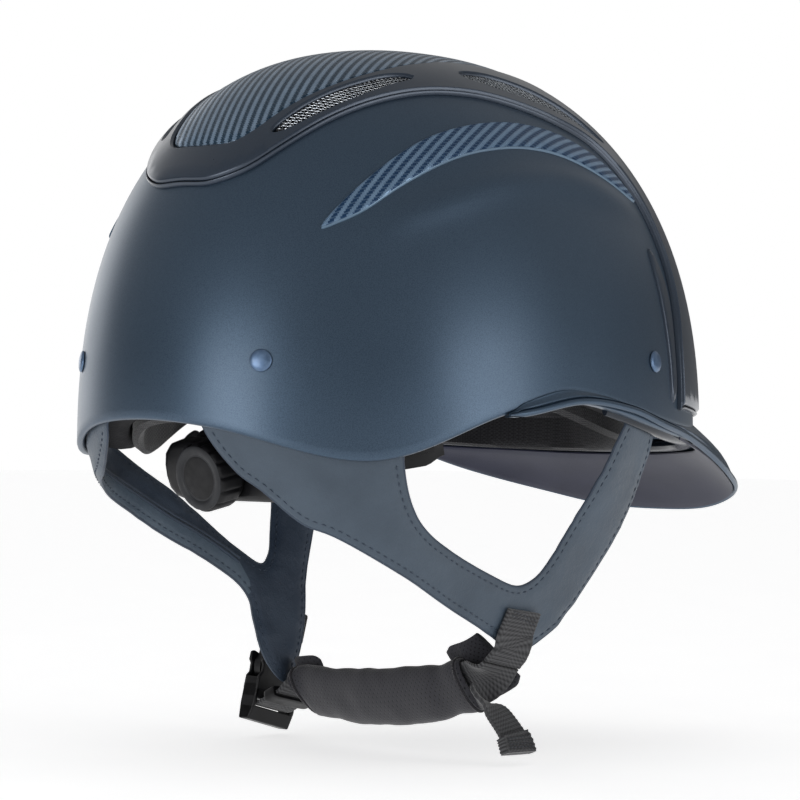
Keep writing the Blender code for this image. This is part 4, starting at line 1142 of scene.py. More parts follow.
def build_linings():
    sections = []
    for azimuth in np.arange(0, 360, 2.0):
        turn = (azimuth + 180) % 360 - 180
        low = float(rim_height(turn)) - 5 * max(0.0, cos(radians(turn) * 0.75))
        channel = 1.1 * abs(cos(radians(azimuth * 7.5)))**8
        face = -27.0 + channel
        profile = [(-22.2, low + 2.5), (-22.2, 18), (-22.2, 33), (-23.4, 36.2), (-25.2, 36.4),
                   (-26.6 + channel, 33), (face, 24), (face, 14), (face, low + 5), (-26.2, low + 1.8),
                   (-24.6, low + 0.6)]
        sections.append([dome(on_map(turn, height)[None], offset)[0] for offset, height in profile])
    band = loft("headband", sections, LINER, closed=True, replaces=("comfort_headband",))

    turn = np.radians(np.arange(0, 360, 10))
    sizes = 1 - np.linspace(0, 1, 9)[:-1]
    oval = np.stack([24 * np.sin(turn), -30 * np.cos(turn)], -1)
    upper = [dome(oval * size, -22.3) for size in sizes]
    low = HEIGHT - 27.0 - 9.0 + 0.6
    rings = upper + [ring * (0.92, 0.92, 0) + (0, 0, low) for ring in upper[::-1]]
    crown = loft("crown_cushion", rings, LINER, replaces=("crown_pad",))
    settle(crown, 4.5, 4.0, 5.0)
    keep_within(crown, "crown_pad", 2.0)


def keep_within(piece, node, slack):
    """Hold a soft piece inside its CAD solid's box, apart from slack millimetres."""
    low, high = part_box(node)
    for vertex in piece.data.vertices:
        for axis in range(3):
            vertex.co[axis] = min(max(vertex.co[axis], low[axis] - slack * MM), high[axis] + slack * MM)


# ---------------------------------------------------------------- harness

def harness_loop(side, step):
    knots = np.array(LEFT_EDGE if side > 0 else RIGHT_EDGE, float) * (side * HARNESS_SCALE, 1)
    return resample(spline(knots, step), step, closed=True)


def build_harness():
    for side, label in ((1, "left"), (-1, "right")):
        loop = harness_loop(side, 1.6)
        holes = []
        for azimuth, height in (REAR_RIVET, FRONT_RIVET):
            centre = np.array((side * azimuth * HARNESS_SCALE, height))
            turn = np.arange(16) * pi / 8
            holes.append(centre + 3.9 * np.stack([np.cos(turn), np.sin(turn)], -1))
        puff = 1.5 if side > 0 else 0.45

        def padding(flat, edge):
            below = smooth_step(rim_height(flat[:, 0] / HARNESS_SCALE) - 4 - flat[:, 1], 0, 10)
            return puff * (1 - np.exp(-(edge / 3.2)**2)) * below

        def crumple(flat):
            below = smooth_step(rim_height(flat[:, 0] / HARNESS_SCALE) - 6 - flat[:, 1], 0, 14)
            place = [(x / 1.5, y, 3.0 * side) for x, y in flat]
            soft = ripple(place, 26.0, 1) * 0.9
            slanted = [(x * 0.7 + y * 0.7, y * 1.6 - x * 0.5, side) for x, y, _ in place]
            crease = -np.abs(ripple(slanted, 13.0, 2))
            return (soft + crease * 0.8) * below

        def outer(flat, edge):
            round_edge = 0.5 * (1 - np.exp(-(edge / 0.8)**2))
            dent = 0.35 * np.exp(-((edge - 2.6) / 0.7)**2)
            return -4.3 + round_edge + padding(flat, edge) + crumple(flat) - dent

        def inner(flat, edge):
            round_edge = 0.5 * (1 - np.exp(-(edge / 0.8)**2))
            dent = 0.3 * np.exp(-((edge - 2.6) / 0.7)**2)
            return -5.2 - round_edge - 0.8 * padding(flat, edge) + crumple(flat) + dent
        rings = [shrunk(loop, inset) for inset in (0.7, 1.5, 2.6, 3.7)]
        made, flat = skin(f"harness_ply_{label}", loop, holes, 3.2, skirt, outer, inner, LEATHER,
                          rings=rings, replaces=(f"harness_{label}",))
        count = len(flat)
        wrap = 99.0
        if side > 0:
            wrap_line = spline(np.array(LEFT_EDGE[2:9], float) * (HARNESS_SCALE, 1), 1.6, closed=False)
            wrap = np.tile(distance_to(flat, [wrap_line], closed=False), 2)
            add_piping(wrap_line, inner)
        gap = np.broadcast_to(wrap, 2 * count)
        # Inside faces of the wrap get the lightened leather as painted light on a shaded face; the rest of
        # the inside takes the lining.
        paint_faces(made, LIT_WRAP_LEATHER, lambda face: min(face.vertices) >= count)
        paint_faces(made, LEATHER_BACK, lambda face: min(face.vertices) >= count
                    and min(gap[i] for i in face.vertices) > WRAP_WIDTH - 1.0)
        add_harness_stitches(label, loop, outer, inner)
        add_binding(label, loop, outer, inner)
        for (azimuth, height), end in ((REAR_RIVET, "rear"), (FRONT_RIVET, "front")):
            build_rivet(f"{end}_{label}", surface_frame(side * azimuth, height))


def add_harness_stitches(label, loop, outer, inner):
    line = shrunk(loop, 2.6)
    visible = line[:, 1] < rim_height(line[:, 0] / HARNESS_SCALE) - 1.5
    start = np.flatnonzero(visible & ~np.roll(visible, 1))
    for level, face in ((outer, "outer"), (inner, "inner")):
        for k, first in enumerate(start):
            end = first
            while visible[end % len(line)] and end - first < len(line):
                end += 1
            run = line[[i % len(line) for i in range(first, end)]]
            if len(run) < 6:
                continue
            edge = np.full(len(run), 2.6)
            lift = 0.12 if face == "outer" else -0.12
            path = skirt(run, level(run, edge) + lift)
            normals = (skirt(run, level(run, edge) + 1.0) - path) * (1 if face == "outer" else -1)
            normals /= np.linalg.norm(normals, axis=1)[:, None]
            stitches(f"stitch_{face}_{label}_{k}", path, normals, THREAD, 2.3, 1.2, 0.3)


def add_piping(wrap_line, inner):
    """Two corded seams where the left harness's outer ply is wrapped over onto its inside."""
    for k, inset in enumerate((WRAP_WIDTH - 0.2, WRAP_WIDTH + 1.6)):
        ahead = directions(wrap_line)
        line = wrap_line + np.stack([ahead[:, 1], -ahead[:, 0]], 1) * inset
        path = skirt(line, inner(line, np.full(len(line), inset)) - 0.35)
        tube_loop(f"piping_{k}", resample(path, 2.0), 0.75, LEATHER_BACK if k else THREAD,
                  sides=8, closed=False)


def add_binding(label, loop, outer, inner):
    """A thin dark cut edge around a harness."""
    edge = np.zeros(len(loop))
    middle = (outer(loop, edge) + inner(loop, edge)) / 2
    path = skirt(loop, middle)
    tube_loop(f"edge_{label}", path, 0.62, LEATHER_BACK)


def surface_frame(azimuth, height):
    """A matrix with its origin on the shell and its z axis along the outward normal."""
    origin = Vector(dome(on_map(azimuth, height)))
    sideways = Vector(dome(on_map(azimuth + 0.5, height))) - origin
    upward = Vector(dome(on_map(azimuth, height + 0.5))) - origin
    normal = sideways.cross(upward).normalized()
    first = sideways.normalized()
    rotation = Matrix((first, normal.cross(first), normal)).transposed().to_4x4()
    return Matrix.Translation(origin) @ rotation


def build_rivet(label, place):
    head = [(0, 1.55), (1.2, 1.53), (2.4, 1.42), (3.2, 1.26), (3.8, 1.04), (4.2, 0.78), (4.4, 0.5),
            (4.4, 0.25), (4.2, 0.15), (3.4, 0.1), (1.8, 0.1), (1.8, -6.7), (0, -6.9)]
    turned(f"rivet_head_{label}", head, 48, RIVET, place, replaces=(f"rivet_{label}",))
    washer = [(0, -6.2), (4.8, -6.25), (5.0, -6.45), (5.0, -6.75), (4.8, -6.9), (2.6, -6.95), (0, -6.95)]
    turned(f"washer_{label}", washer, 40, RIVET, place, replaces=(f"rivet_washer_{label}",))


# ---------------------------------------------------------------- webbing

def as_points(vectors):
    return np.array([tuple(vector) for vector in vectors])


def directions(path):
    ahead = np.gradient(path, axis=0)
    return ahead / np.linalg.norm(ahead, axis=1)[:, None]


def tape_sections(path, wides, widths, thickness):
    """Sections of woven tape with soft selvedges and cross ribs."""
    ahead = directions(path)
    wides = wides - ahead * np.sum(ahead * wides, 1)[:, None]
    wides /= np.linalg.norm(wides, axis=1)[:, None]
    normals = np.cross(ahead, wides)
    lengths = lengths_along(path)
    profile = [(-1, 0), (-0.985, 0.6), (-0.93, 0.98), (-0.84, 0.86), (-0.45, 0.97), (0, 1), (0.45, 0.97),
               (0.84, 0.86), (0.93, 0.98), (0.985, 0.6), (1, 0)]
    profile += [(-x, -y) for x, y in profile[1:-1]]
    sections, places = [], []
    for i, point in enumerate(path):
        ribbed = thickness / 2 * (1 + RIB_DEPTH * cos(2 * pi * lengths[i] / RIB_PITCH))
        for x, y in profile:
            sections.append(point + wides[i] * x * widths[i] / 2 + normals[i] * y * ribbed)
            places.append(((x + 1) * widths[i] / 2 / CHEVRON_PITCH, lengths[i] / RIB_PITCH))
    size = len(profile)
    return np.array(sections).reshape(len(path), size, 3), places, normals


def tape(name, path, wides, width, finish, thickness=WEBBING_THICKNESS, step=0.42, **options):
    """Woven tape along a path; wides gives the width's direction at each path point."""
    path = np.asarray(path, float)
    fine = resample(path, step)
    lengths = lengths_along(path)
    at = np.linspace(0, lengths[-1], len(fine))
    wides = np.stack([np.interp(at, lengths, np.asarray(wides)[:, k]) for k in range(3)], 1)
    widths = np.interp(at, lengths, np.broadcast_to(width, len(path)))
    sections, places, normals = tape_sections(fine, wides, widths, thickness)
    made = loft(name, sections, finish, **options)
    weave_map(made, places)
    return made, fine, wides, normals


def strap_twists(points):
    right = np.clip((points[:, 0] + 70) / 14, 0, 1)
    left = np.clip((63 - points[:, 0]) / 14, 0, 1)
    share = np.minimum(right, left)
    return PAD_TWIST * (3 * share**2 - 2 * share**3)


def twisted(path, twists):
    """The width's direction along a strap, turned from ACROSS by the twists in degrees."""
    wides = []
    for ahead, twist in zip(directions(path), twists):
        ahead = Vector(ahead)
        flat = (ACROSS - ahead * ACROSS.dot(ahead)).normalized()
        wides.append(Matrix.Rotation(radians(twist), 3, ahead) @ flat)
    return as_points(wides)


def strap_path(step=1.5):
    return spline(as_points([hanging(*knot) for knot in STRAP_KNOTS]), step, closed=False)


def sewn_tape_path(side, places):
    """Middle points and width directions where a webbing lies on the outside of a harness."""
    gap = -3.9 + 1.1 + WEBBING_THICKNESS / 2 + (2.1 if side > 0 else 0.6)
    middles, wides = [], []
    for azimuth, height in places:
        ends = []
        for end in (-1, 1):
            along = side * (azimuth + end * 6.2) * HARNESS_SCALE
            level = height + end * WEBBING_WIDTH / 2 * sin(radians(STRAP_TILT))
            ends.append(skirt(np.array((along, level)), gap))
        middles.append((ends[0] + ends[1]) / 2)
        wides.append((ends[1] - ends[0]) / np.linalg.norm(ends[1] - ends[0]))
    return np.array(middles), np.array(wides)


def build_chin_strap():
    middles, wides = sewn_tape_path(-1, [(87.5, -66), (88, -71), (88.5, -76.5)])
    knots = [(-75.2, -6.5), (-73.9, -3.4), (-72.0, -1.3), (-70.4, 0.6)]
    lower = as_points([hanging(*knot) for knot in knots])
    path = spline(np.concatenate([middles, lower]), 1.5, closed=False)
    share = np.linspace(0, 1, len(path))[:, None]
    directions_across = wides[0] * (1 - share) + np.array(ACROSS) * share
    _, fine, across, normals = tape("side_tape_right", path, directions_across, WEBBING_WIDTH, WEBBING,
                                    replaces=("webbing_right",))
    for sign, face in ((1.0, "a"), (-1.0, "b")):
        tape_stitching(f"tape_seam_right_{face}", fine, across, normals, (1.6, 3.4), "root", sign)

    path = strap_path()
    wides = twisted(path, strap_twists(path))
    tape("chin_tape", path, wides, WEBBING_WIDTH, WEBBING, body="chin", replaces=("chin_strap",))
    build_pad(path)
    build_keeper(path)
    build_tail()


def tape_stitching(name, fine, across, normals, distances, body, sign):
    """Rows of stitches across a tape at distances along it."""
    lengths = lengths_along(fine)
    for k, distance in enumerate(distances):
        i = int(np.argmin(np.abs(lengths - distance)))
        normal = normals[i] * sign
        centre = fine[i] + normal * (WEBBING_THICKNESS / 2 + 0.12)
        line = np.array([centre - across[i] * SEAM_HALF, centre + across[i] * SEAM_HALF])
        stitches(f"{name}_{k}", line, [normal, normal], STITCHING, 1.7, 0.7, 0.32, body=body)


def between(path, start, end):
    """The part of a path from one x to another."""
    return path[(path[:, 0] >= start) & (path[:, 0] <= end)]


def pad_ring(point, ahead, wide, width, depth, turns, power=0.85):
    """An oval round a strap, squarer for a lower power."""
    normal = np.cross(ahead, wide)
    return [point + wide * width / 2 * np.sign(cos(a)) * abs(cos(a))**power
            + normal * depth / 2 * np.sign(sin(a)) * abs(sin(a))**power for a in turns]


def build_pad(path):
    """A soft sleeve round the strap, wrinkled, with bound ends."""
    line = resample(between(path, SLEEVE_START, SLEEVE_END), 1.5)
    ahead = directions(line)
    wides = twisted(line, strap_twists(line))
    share = np.linspace(0, 1, len(line))
    turns = np.arange(40) * 2 * pi / 40
    outer, hollow = [], []
    for i, point in enumerate(line):
        waist = 0.07 * exp_at(share[i], 0.12, 0.05)
        swell = 1 + 0.10 * sin(pi * share[i]) - waist - 0.05 * exp_at(share[i], 0.8, 0.06)
        ring = np.array(pad_ring(point, ahead[i], wides[i], SLEEVE_WIDTH * swell, SLEEVE_DEPTH * swell,
                                 turns))
        out = ring - point
        out /= np.linalg.norm(out, axis=1)[:, None]
        folds = ripple([tuple(p * (1.5, 0.8, 0.8)) for p in ring], 19.0, 4) * 0.75
        folds += ripple([tuple(p) for p in ring], 7.0, 5) * 0.3
        outer.append(ring + out * folds[:, None])
        hollow.append(np.array(pad_ring(point, ahead[i], wides[i], WEBBING_WIDTH + SLEEVE_ROOM,
                                        WEBBING_THICKNESS + 3 * SLEEVE_ROOM, turns)))
    rounded = [outer[0] * 0.4 + hollow[0] * 0.6 - ahead[0] * 1.0] + outer
    rounded += [outer[-1] * 0.4 + hollow[-1] * 0.6 + ahead[-1] * 1.0]
    sections = rounded + hollow[::-1]
    made = loft("chin_sleeve", sections, SLEEVE, closed=True, body="chin", replaces=("chin_pad",))
    weave_map(made, [(j / 40 * 62, i * 1.5) for i in range(len(sections)) for j in range(40)])
    for k, end_index in enumerate((1, len(line) - 2)):
        ring = np.array(outer[end_index])
        tube_loop(f"sleeve_hem_{k}", ring, 0.8, PAD_EDGE, sides=8, body="chin")
    add_flap("right", path, (-68.5, -44.0), 27.0, 4.8)
    add_flap("left", path, (44.0, 59.6), 23.0, 4.6)


def add_flap(label, path, span, width, behind):
    """The sleeve's back ply, longer than its front, as a soft flap behind the strap."""
    line = resample(between(path, *span), 1.2)
    ahead = directions(line)
    wides = twisted(line, np.full(len(line), PAD_TWIST))
    away = np.clip((np.abs(line[:, 0]) - 54) / 14, 0, 1) * FLAP_FLARE
    view = np.array(view_axes()[2])
    count = 24
    sections, places = [], []
    for i, point in enumerate(line):
        normal = np.cross(ahead[i], wides[i])
        normal *= -np.sign(normal @ view)
        end = min(i, len(line) - 1 - i) * 1.2
        half = width / 2 * (0.86 + 0.14 * min(1.0, end / 3.0))
        thick = 1.5 * min(1.0, 0.35 + end / 2.5)
        ring = []
        for j in range(count):
            turn = 2 * pi * j / count
            x = np.sign(cos(turn)) * abs(cos(turn))**0.5 * half
            lift = 1.2 * sin(x / 5 + i * 0.35) * 0.5
            depth = behind + away[i] + lift + thick * sin(turn)
            ring.append(point + wides[i] * (x + 3.0) + normal * depth)
            places.append((x, i * 1.2))
        sections.append(ring)
    made = loft(f"sleeve_flap_{label}", sections, SLEEVE, body="chin")
    weave_map(made, places)


def exp_at(value, centre, width):
    return float(np.exp(-((value - centre) / width)**2))


def build_keeper(path):
    line = resample(between(path, KEEPER_START, KEEPER_END), 0.7)
    ahead = directions(line)
    wides = twisted(line, strap_twists(line))
    turns = np.arange(48) * 2 * pi / 48
    sections = []
    inner = []
    for i, point in enumerate(line):
        edge = min(i, len(line) - 1 - i) / max(1, len(line) - 1)
        swell = 0.5 * min(1.0, edge * 8)
        sections.append(pad_ring(point, ahead[i], wides[i], 23.2 + swell, 5.2 + swell, turns, 0.35))
        inner.append(pad_ring(point, ahead[i], wides[i], 21.3, 3.1, turns, 0.35))
    loft("keeper_loop", sections + inner[::-1], PLASTIC, closed=True, body="keeper",
         replaces=("strap_keeper",))


def build_tail():
    path = spline(as_points([hanging(*knot) for knot in TAIL_KNOTS]), 1.0, closed=False)
    twists = [-PAD_TWIST * max(0.0, (x + 72) / 13)**2 for x in path[:, 0]]
    wides = twisted(path, twists)
    _, fine, across, normals = tape("tail_tape", path, wides, WEBBING_WIDTH - 1, WEBBING, body="tail",
                                    replaces=("strap_tail",))
    tape("tail_hem", fine[-20:], across[-20:], WEBBING_WIDTH - 0.4, WEBBING, FOLD_THICKNESS, body="tail")
    total = np.linalg.norm(np.diff(fine, axis=0), axis=1).sum()
    for sign, side in ((1.0, "front"), (-1.0, "rear")):
        surface = fine + normals * sign * (FOLD_THICKNESS - WEBBING_THICKNESS) / 2
        tape_stitching(f"tail_seam_{side}", surface, across, normals,
                       [total - distance for distance in (1.2, 2.6, 4.0, 5.4)], "tail", sign)


# ---------------------------------------------------------------- buckle

def buckle_frame():
    """x is the buckle's thickness, y runs across it, and -z points down its length."""
    turned_axes = Matrix((Vector((1, 0, 0)), ACROSS, -DOWN)).transposed().to_4x4()
    return Matrix.Translation(hanging(BUCKLE_REACH, BUCKLE_DROP)) @ turned_axes


def flat_plate(name, place, outline, holes, low, high, radius, finish, **options):
    """A plate cut in its frame's y-z plane, from x low to high, with round edges."""
    flat, faces = fill(np.asarray(outline, float), [np.asarray(hole, float) for hole in holes], 50.0)
    count = len(flat)
    points = [tuple(place @ Vector((high, y, z))) for y, z in flat]
    points += [tuple(place @ Vector((low, y, z))) for y, z in flat]
    made = add_piece(name, points, outward(points, doubled(faces, count)), finish, **options)
    round_edges(made, radius)


def round_oblong(x0, x1, y0, y1, radius=1.2):
    """A rectangle with round corners, as a loop."""
    loop = []
    for x, y, first in ((x1 - radius, y1 - radius, 0), (x0 + radius, y1 - radius, 90),
                        (x0 + radius, y0 + radius, 180), (x1 - radius, y0 + radius, 270)):
        for k in range(4):
            turn = radians(first + 30 * k)
            loop.append((x + radius * cos(turn), y + radius * sin(turn)))
    return loop


def build_buckle():
    place = buckle_frame()
    window = round_oblong(-8.8, 8.8, 18.6, 23.6, 0.8)
    flat_plate("plug_body", place, round_oblong(-10.2, 10.2, 12.6, 26), [window], -3.0, 3.0, 0.8, PLASTIC,
               replaces=("buckle_plug",))
    rounded_box("plug_guide", place, (-1.6, -1.6, -2), (1.6, 1.6, 13.4), 0.5, PLASTIC)
    bar = [(2.2, 21.0), (4.4, 21.6), (5.6, 23.4), (5.4, 25.6), (4.6, 27.2), (3.6, 26.6), (4.1, 24.9),
           (3.9, 23.4), (2.8, 22.8)]
    sections = [[tuple(place @ Vector((x, y, z))) for x, z in spline(bar, 0.5)]
                for y in np.linspace(-8.0, 8.0, 12)]
    loft("plug_lip", sections, PLASTIC)
    prong = [(6.4, 12.6), (9.8, 12.6), (9.6, 4), (11.1, 0.5), (9.9, -4.5), (7.2, -5.5), (6.7, 2)]
    for side, label in ((-1, "front"), (1, "rear")):
        outline = [(side * y, z) for y, z in spline(prong, 0.7)][::side]
        flat_plate(f"prong_{label}", place, outline, [], -1.9, 1.9, 0.5, PLASTIC,
                   body=f"prong_{label}", replaces=(f"buckle_prong_{label}",))
    build_socket(place)
    build_left_tape(place)


def build_socket(place):
    """Two faces with side windows between them, then a solid heel with a ladder slot."""
    y = 12.4
    outline = [(-y, 4.5), (-y + 1.5, 5.2), (-4, 3.6), (4, 3.6), (y - 1.5, 5.2), (y, 4.5), (y, 0.6),
               (y - 1.1, -0.6), (y - 1.3, -4.2), (y, -6.0), (y, -12), (-y, -12), (-y, -6.0),
               (-y + 1.3, -4.2), (-y + 1.1, -0.6), (-y, 0.6)]
    flat_plate("socket_face_out", place, outline, [], 3.0, 4.5, 0.55, PLASTIC, body="chin",
               replaces=("buckle_socket",))
    flat_plate("socket_face_in", place, outline, [], -4.5, -3.0, 0.55, PLASTIC, body="chin")
    for side, label in ((-1, "front"), (1, "rear")):
        rounded_box(f"socket_wall_{label}", place, (-3.6, min(side * 11.4, side * 12.3), -11.5),
                    (3.6, max(side * 11.4, side * 12.3), -6.3), 0.4, PLASTIC, body="chin")
    half, slot_half = 12.35, 10.5
    side_section = [(-4.4, -9.0), (-4.4, -18), (-2.6, -25), (3.6, -25), (4.4, -18), (4.4, -9.0)]
    upper_bar = [(-4.4, -9.0), (-4.4, -15.4), (4.4, -15.4), (4.4, -9.0)]
    lower_bar = [(-4.25, -18.8), (-2.6, -25), (3.6, -25), (4.3, -18.8)]
    for name, section, start, end in (("heel_side_front", side_section, -half, -slot_half),
                                      ("heel_side_rear", side_section, slot_half, half),
                                      ("heel_bar_0", upper_bar, -half, half),
                                      ("heel_bar_1", lower_bar, -half, half)):
        ends = [[tuple(place @ Vector((x, y, z))) for x, z in section] for y in (start, end)]
        round_edges(loft(name, ends, PLASTIC, body="chin"), 0.6)


def build_left_tape(place):
    middles, wides = sewn_tape_path(1, [(82.5, -58), (82.3, -61), (82, -64.5)])
    turn_in = [(4.2, 0, 30.0), (5.6, 0, 27.5), (6.0, 0, 24.5), (3.8, 0, 21.4), (0.5, 0, 21.1)]
    lower = as_points([place @ Vector(point) for point in turn_in])
    path = spline(np.concatenate([middles, lower]), 1.5, closed=False)
    share = np.linspace(0, 1, len(path))[:, None]
    across = wides[0] * (1 - share) + np.array(ACROSS) * share
    _, fine, across, normals = tape("side_tape_left", path, across, 16.0, WEBBING,
                                    replaces=("webbing_left",))
    tape_stitching("tape_seam_left", fine, across, normals, (2.0, 4.6), "root", -1.0)


# ---------------------------------------------------------------- dial adjuster

def adjuster_frame():
    tip = radians(ADJUSTER_TIP)
    rows = (Vector((1, 0, 0)), Vector((0, cos(tip), -sin(tip))), Vector((0, sin(tip), cos(tip))))
    return Matrix.Translation(ADJUSTER_CENTRE) @ Matrix(rows).transposed().to_4x4()


def arc_piece(name, place, profile, start, end, step, finish, shape=None, **options):
    """A band about the adjuster's z axis through (radius, height) points; angles are from the rear."""
    sections = []
    for angle in np.linspace(start, end, ceil((end - start) / step) + 1):
        share = (angle - start) / (end - start)
        s, c = sin(radians(angle)), cos(radians(angle))
        ring = []
        for radius, height in profile:
            if shape:
                radius, height = shape(share, radius, height)
            ring.append(tuple(place @ Vector((radius * s, radius * c, height))))
        sections.append(ring)
    return loft(name, sections, finish, **options)


def build_adjuster():
    place = adjuster_frame()

    def pillow(share, radius, height):
        round_end = max(0.0, 1 - abs(2 * share - 1)**6)**0.5
        channel = 1 - 0.10 * abs(cos(pi * share * 4))**10
        depth = (radius - CUSHION_BACK) * max(0.12, round_end) * channel
        return CUSHION_BACK + depth, 3 + (height - 3) * (0.5 + 0.5 * round_end)
    section = round_oblong(CUSHION_INSIDE, CUSHION_OUTSIDE, -7, 17, 2.2)
    pad = arc_piece("nape_cushion", place, section, -33, 33, 1.6, LINER, pillow, replaces=("nape_pad",))
    settle(pad, 4.0, 3.0, 1.2)
    keep_within(pad, "nape_pad", 1.0)

    def yoke(share, radius, height):
        waist = 1 - 0.28 * (2 * share - 1)**4
        return radius, 0.5 + (height - 0.5) * waist
    section = round_oblong(YOKE_INSIDE, YOKE_OUTSIDE, -14, 15, 0.8)
    arc_piece("yoke", place, section, -YOKE_SPREAD, YOKE_SPREAD, 1.3, PLASTIC, yoke,
              replaces=("adjuster_base",))
    for side, label in ((1, "left"), (-1, "right")):
        start, end = (-9, RACK_REACH) if side > 0 else (-RACK_REACH, 9)
        low, high = (-RACK_FAR, -RACK_NEAR) if side > 0 else (RACK_NEAR, RACK_FAR)
        strip = round_oblong(RACK_INSIDE, RACK_OUTSIDE, low, high, 0.5)
        arc_piece(f"rack_strip_{label}", place, strip, start, end, 1.5, PLASTIC,
                  body=f"rack_{label}", replaces=(f"rack_{label}",))
        blade = (22, RACK_REACH) if side > 0 else (-RACK_REACH, -22)

        def taper(share, radius, height, side=side):
            away = share if side > 0 else 1 - share
            wide = 0.75 + 0.25 * float(smooth_step(away, 0.0, 0.25))
            tip = 1 - 0.45 * float(smooth_step(away, 0.86, 1.0))
            return radius, height * wide * tip
        plate = round_oblong(RACK_INSIDE - 0.1, RACK_OUTSIDE + 0.1, -6.5, 6.5, 0.8)
        arc_piece(f"rack_blade_{label}", place, plate, *blade, 1.5, PLASTIC, taper, body=f"rack_{label}")
        rib = round_oblong(RACK_OUTSIDE - 0.1, RACK_OUTSIDE + 0.8, -1.2, 1.2, 0.4)
        arc_piece(f"blade_rib_{label}", place, rib, blade[0] + 3, blade[1] - 6, 1.5, PLASTIC,
                  body=f"rack_{label}")
        add_rack_teeth(place, side, label, low, high)
    build_dial(place)


def add_rack_teeth(place, side, label, low, high):
    points, faces = [], []
    inner_edge = high if side > 0 else low
    tooth_height = side * TOOTH_HEIGHT
    for k in range(TOOTH_COUNT):
        angle = side * (-8 + TOOTH_PITCH * k)
        first = len(points)
        for offset, rise in ((-0.55, 0), (-0.25, 1), (0.25, 1), (0.55, 0)):
            for radius in (76.8, 78.2):
                a = radians(angle + offset)
                height = inner_edge - 0.1 * tooth_height + rise * tooth_height
                points.append(tuple(place @ Vector((radius * sin(a), radius * cos(a), height))))
        for i in range(3):
            a = first + 2 * i
            faces.append((a, a + 1, a + 3, a + 2))
        faces.append((first, first + 2, first + 4, first + 6))
        faces.append((first + 7, first + 5, first + 3, first + 1))
        faces.append((first + 6, first + 7, first + 1, first))
    add_piece(f"rack_teeth_{label}", points, outward(points, faces), PLASTIC, body=f"rack_{label}")


def build_dial(place):
    back = place @ Matrix.Rotation(radians(-90), 4, "X")
    cover = round_oblong(-37, 37, -13, 12, 10.0)
    hollow = round_oblong(-33.8, 33.8, -10.4, 10.2, 7.5)
    levels = [(75.9, 0.0), (79.0, 0.0), (82.2, 0.25), (83.7, 1.0), (84.4, 2.2), (84.5, 3.4)]
    loops = [(82.4, hollow), (75.9, hollow)] + [(y, shrunk(np.array(cover), inset)) for y, inset in levels]
    rings = [[tuple(place @ Vector((x, y, z))) for x, z in loop] for y, loop in loops]
    loft("dial_housing", rings, PLASTIC, replaces=("adjuster_cover",))

    def grip(turn, radius, height):
        return -GRIP_DEPTH * max(0.0, cos(turn * GRIP_COUNT))**3 if radius >= 13.0 else 0.0
    knob = [(0, 97.4), (9.3, 97.4), (9.6, 97.7), (9.8, 98.3), (10.2, 98.6), (12.2, 98.6), (12.9, 98.4),
            (13.6, 97.7), (DIAL_RADIUS - 0.05, 96.8), (DIAL_RADIUS, 95.5), (DIAL_RADIUS, 91.5),
            (DIAL_RADIUS, 88.6), (13.7, 87.4), (12.8, 86.2), (12.4, 85.4), (3.4, 85.3), (3.0, 85.0),
            (3.0, 82.6), (0, 82.6)]
    turned("dial_grip", knob, 168, RUBBER, back, grip, body="dial", replaces=("dial_knob",))
    ring = [(0, 98.2), (9.3, 98.2), (9.9, 98.75), (12.2, 98.9), (12.9, 98.6), (13.0, 98.3), (0, 98.1)]
    turned("dial_ring", ring, 96, GREY_FACE, back, body="dial")
    cap = [(0, 98.45), (5.0, 98.42), (8.2, 98.36), (8.8, 98.2), (9.1, 97.9), (0, 97.9)]
    turned("dial_disc", cap, 96, RUBBER, back, body="dial", replaces=("dial_cap",), slot="black_plastic")
    pinion = [(0, 82.2), (3.6, 82.2), (4.2, 81.8), (4.2, 76.7), (3.6, 76.3), (0, 76.3)]
    turned("dial_pinion", pinion, 72, PLASTIC, back,
           lambda turn, radius, height: -0.5 * (cos(12 * turn) > 0) if radius > 4 else 0.0, body="dial",
           replaces=("adjuster_pinion",))


# ---------------------------------------------------------------- studio

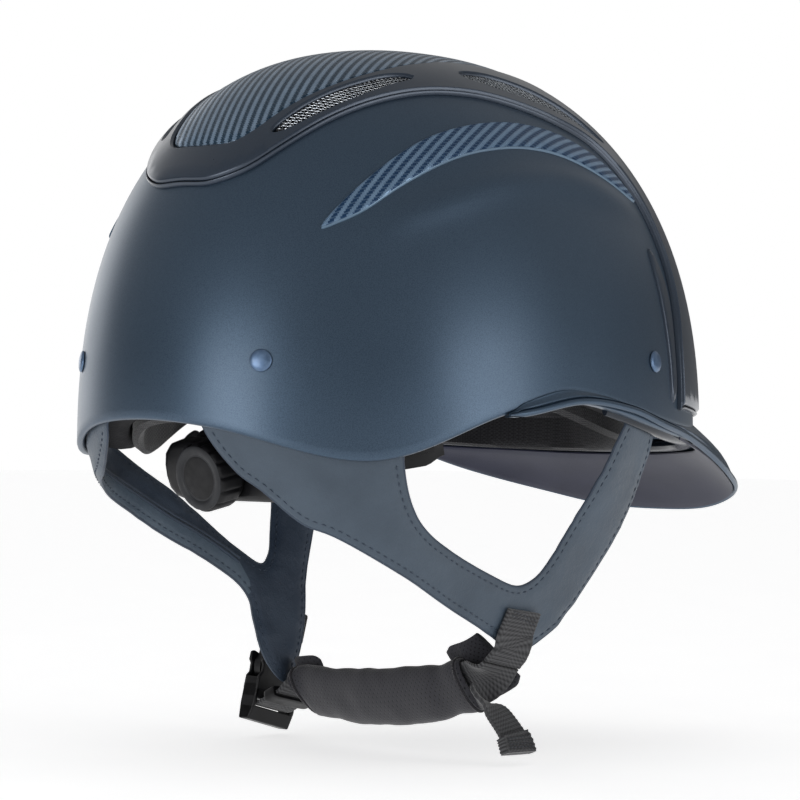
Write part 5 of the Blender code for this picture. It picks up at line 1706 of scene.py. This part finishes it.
def build_set():
    corners = [Vector((x * FLOOR_REACH, y * FLOOR_REACH, FLOOR_LEVEL)) * MM
               for x, y in ((-1, -1), (1, -1), (1, 1), (-1, 1))]
    mesh = bpy.data.meshes.new("floor")
    mesh.from_pydata(corners, [], [(0, 1, 2, 3)])
    made = bpy.data.objects.new("floor", mesh)
    bpy.context.collection.objects.link(made)
    pale = Finish("pale floor", Roughness=0.85, Specular_IOR_Level=0.1, Emission_Strength=FLOOR_GLOW)
    pale.colour(pale.span(pale.noise(40.0, 3.0), 0.3, 0.7), (0.88, 0.88, 0.89), (0.92, 0.92, 0.92))
    mesh.materials.append(pale.material)

    world = bpy.data.worlds.new("studio")
    bpy.context.scene.world = world
    world.use_nodes = True
    tree = world.node_tree
    soft = tree.nodes["Background"]
    soft.inputs["Color"].default_value = (1.0, 1.0, 1.0, 1.0)
    right, _, back = view_axes()
    towards = tree.nodes.new("ShaderNodeVectorMath")
    towards.operation = "DOT_PRODUCT"
    turn = radians(BRIGHT_SIDE)
    towards.inputs[1].default_value = right * sin(turn) + back * cos(turn)
    level = tree.nodes.new("ShaderNodeMapRange")
    spans = {"From Min": BRIGHT_START, "From Max": BRIGHT_FULL,
             "To Min": ROOM_LIGHT, "To Max": BACKDROP_LIGHT}
    for socket, value in spans.items():
        level.inputs[socket].default_value = value
    tree.links.new(tree.nodes.new("ShaderNodeTexCoord").outputs["Generated"], towards.inputs[0])
    tree.links.new(towards.outputs["Value"], level.inputs["Value"])
    tree.links.new(level.outputs[0], soft.inputs["Strength"])
    backdrop = tree.nodes.new("ShaderNodeBackground")
    backdrop.inputs["Color"].default_value = (1.0, 1.0, 1.0, 1.0)
    seen = tree.nodes.new("ShaderNodeLightPath")
    choice = tree.nodes.new("ShaderNodeMixShader")
    tree.links.new(seen.outputs["Is Camera Ray"], choice.inputs[0])
    tree.links.new(soft.outputs[0], choice.inputs[1])
    tree.links.new(backdrop.outputs[0], choice.inputs[2])
    tree.links.new(choice.outputs[0], tree.nodes["World Output"].inputs["Surface"])
    bpy.context.scene.view_settings.view_transform = "Standard"


def add_light(name, place, target, size, power):
    light = bpy.data.lights.new(name, "AREA")
    light.shape = "RECTANGLE"
    light.size, light.size_y = size[0] * MM, size[1] * MM
    light.energy = power
    made = bpy.data.objects.new(name, light)
    made.location = Vector(place) * MM
    made.rotation_euler = (Vector(target) - Vector(place)).to_track_quat("-Z", "Y").to_euler()
    bpy.context.collection.objects.link(made)


def view_axes():
    turn, rise, roll = radians(VIEW_AZIMUTH), radians(VIEW_ELEVATION), radians(VIEW_ROLL)
    back = Vector((-sin(turn) * cos(rise), cos(turn) * cos(rise), sin(rise)))
    right = Vector((-cos(turn), -sin(turn), 0.0))
    up = back.cross(right)
    return right * cos(roll) + up * sin(roll), up * cos(roll) - right * sin(roll), back


def build_camera():
    right, up, back = view_axes()
    lens = bpy.data.cameras.new("camera")
    lens.lens, lens.sensor_width = VIEW_LENS, SENSOR
    lens.clip_start, lens.clip_end = 0.05, 30.0
    made = bpy.data.objects.new("camera", lens)
    aim = right * AIM_RIGHT + up * AIM_UP
    facing = Matrix((right, up, back)).transposed().to_4x4()
    made.matrix_world = Matrix.Translation((aim + back * VIEW_DISTANCE) * MM) @ facing
    bpy.context.collection.objects.link(made)
    bpy.context.scene.camera = made


def build_lights():
    right, up, back = view_axes()
    middle = Vector((0, 0, 20))
    for name, turn, distance, height, size, power in STUDIO_LIGHTS:
        across = right * sin(radians(turn)) + back * cos(radians(turn))
        add_light(name, middle + across * distance + up * height, middle, size, power)
    sun = bpy.data.lights.new("overhead", "SUN")
    sun.energy, sun.angle = OVERHEAD_STRENGTH, radians(150)
    made = bpy.data.objects.new("overhead", sun)
    bpy.context.collection.objects.link(made)


def main():
    build_set()
    build_camera()
    build_lights()
    build_shell()
    build_panels()
    build_peak()
    build_linings()
    build_harness()
    build_chin_strap()
    build_buckle()
    build_adjuster()


main()
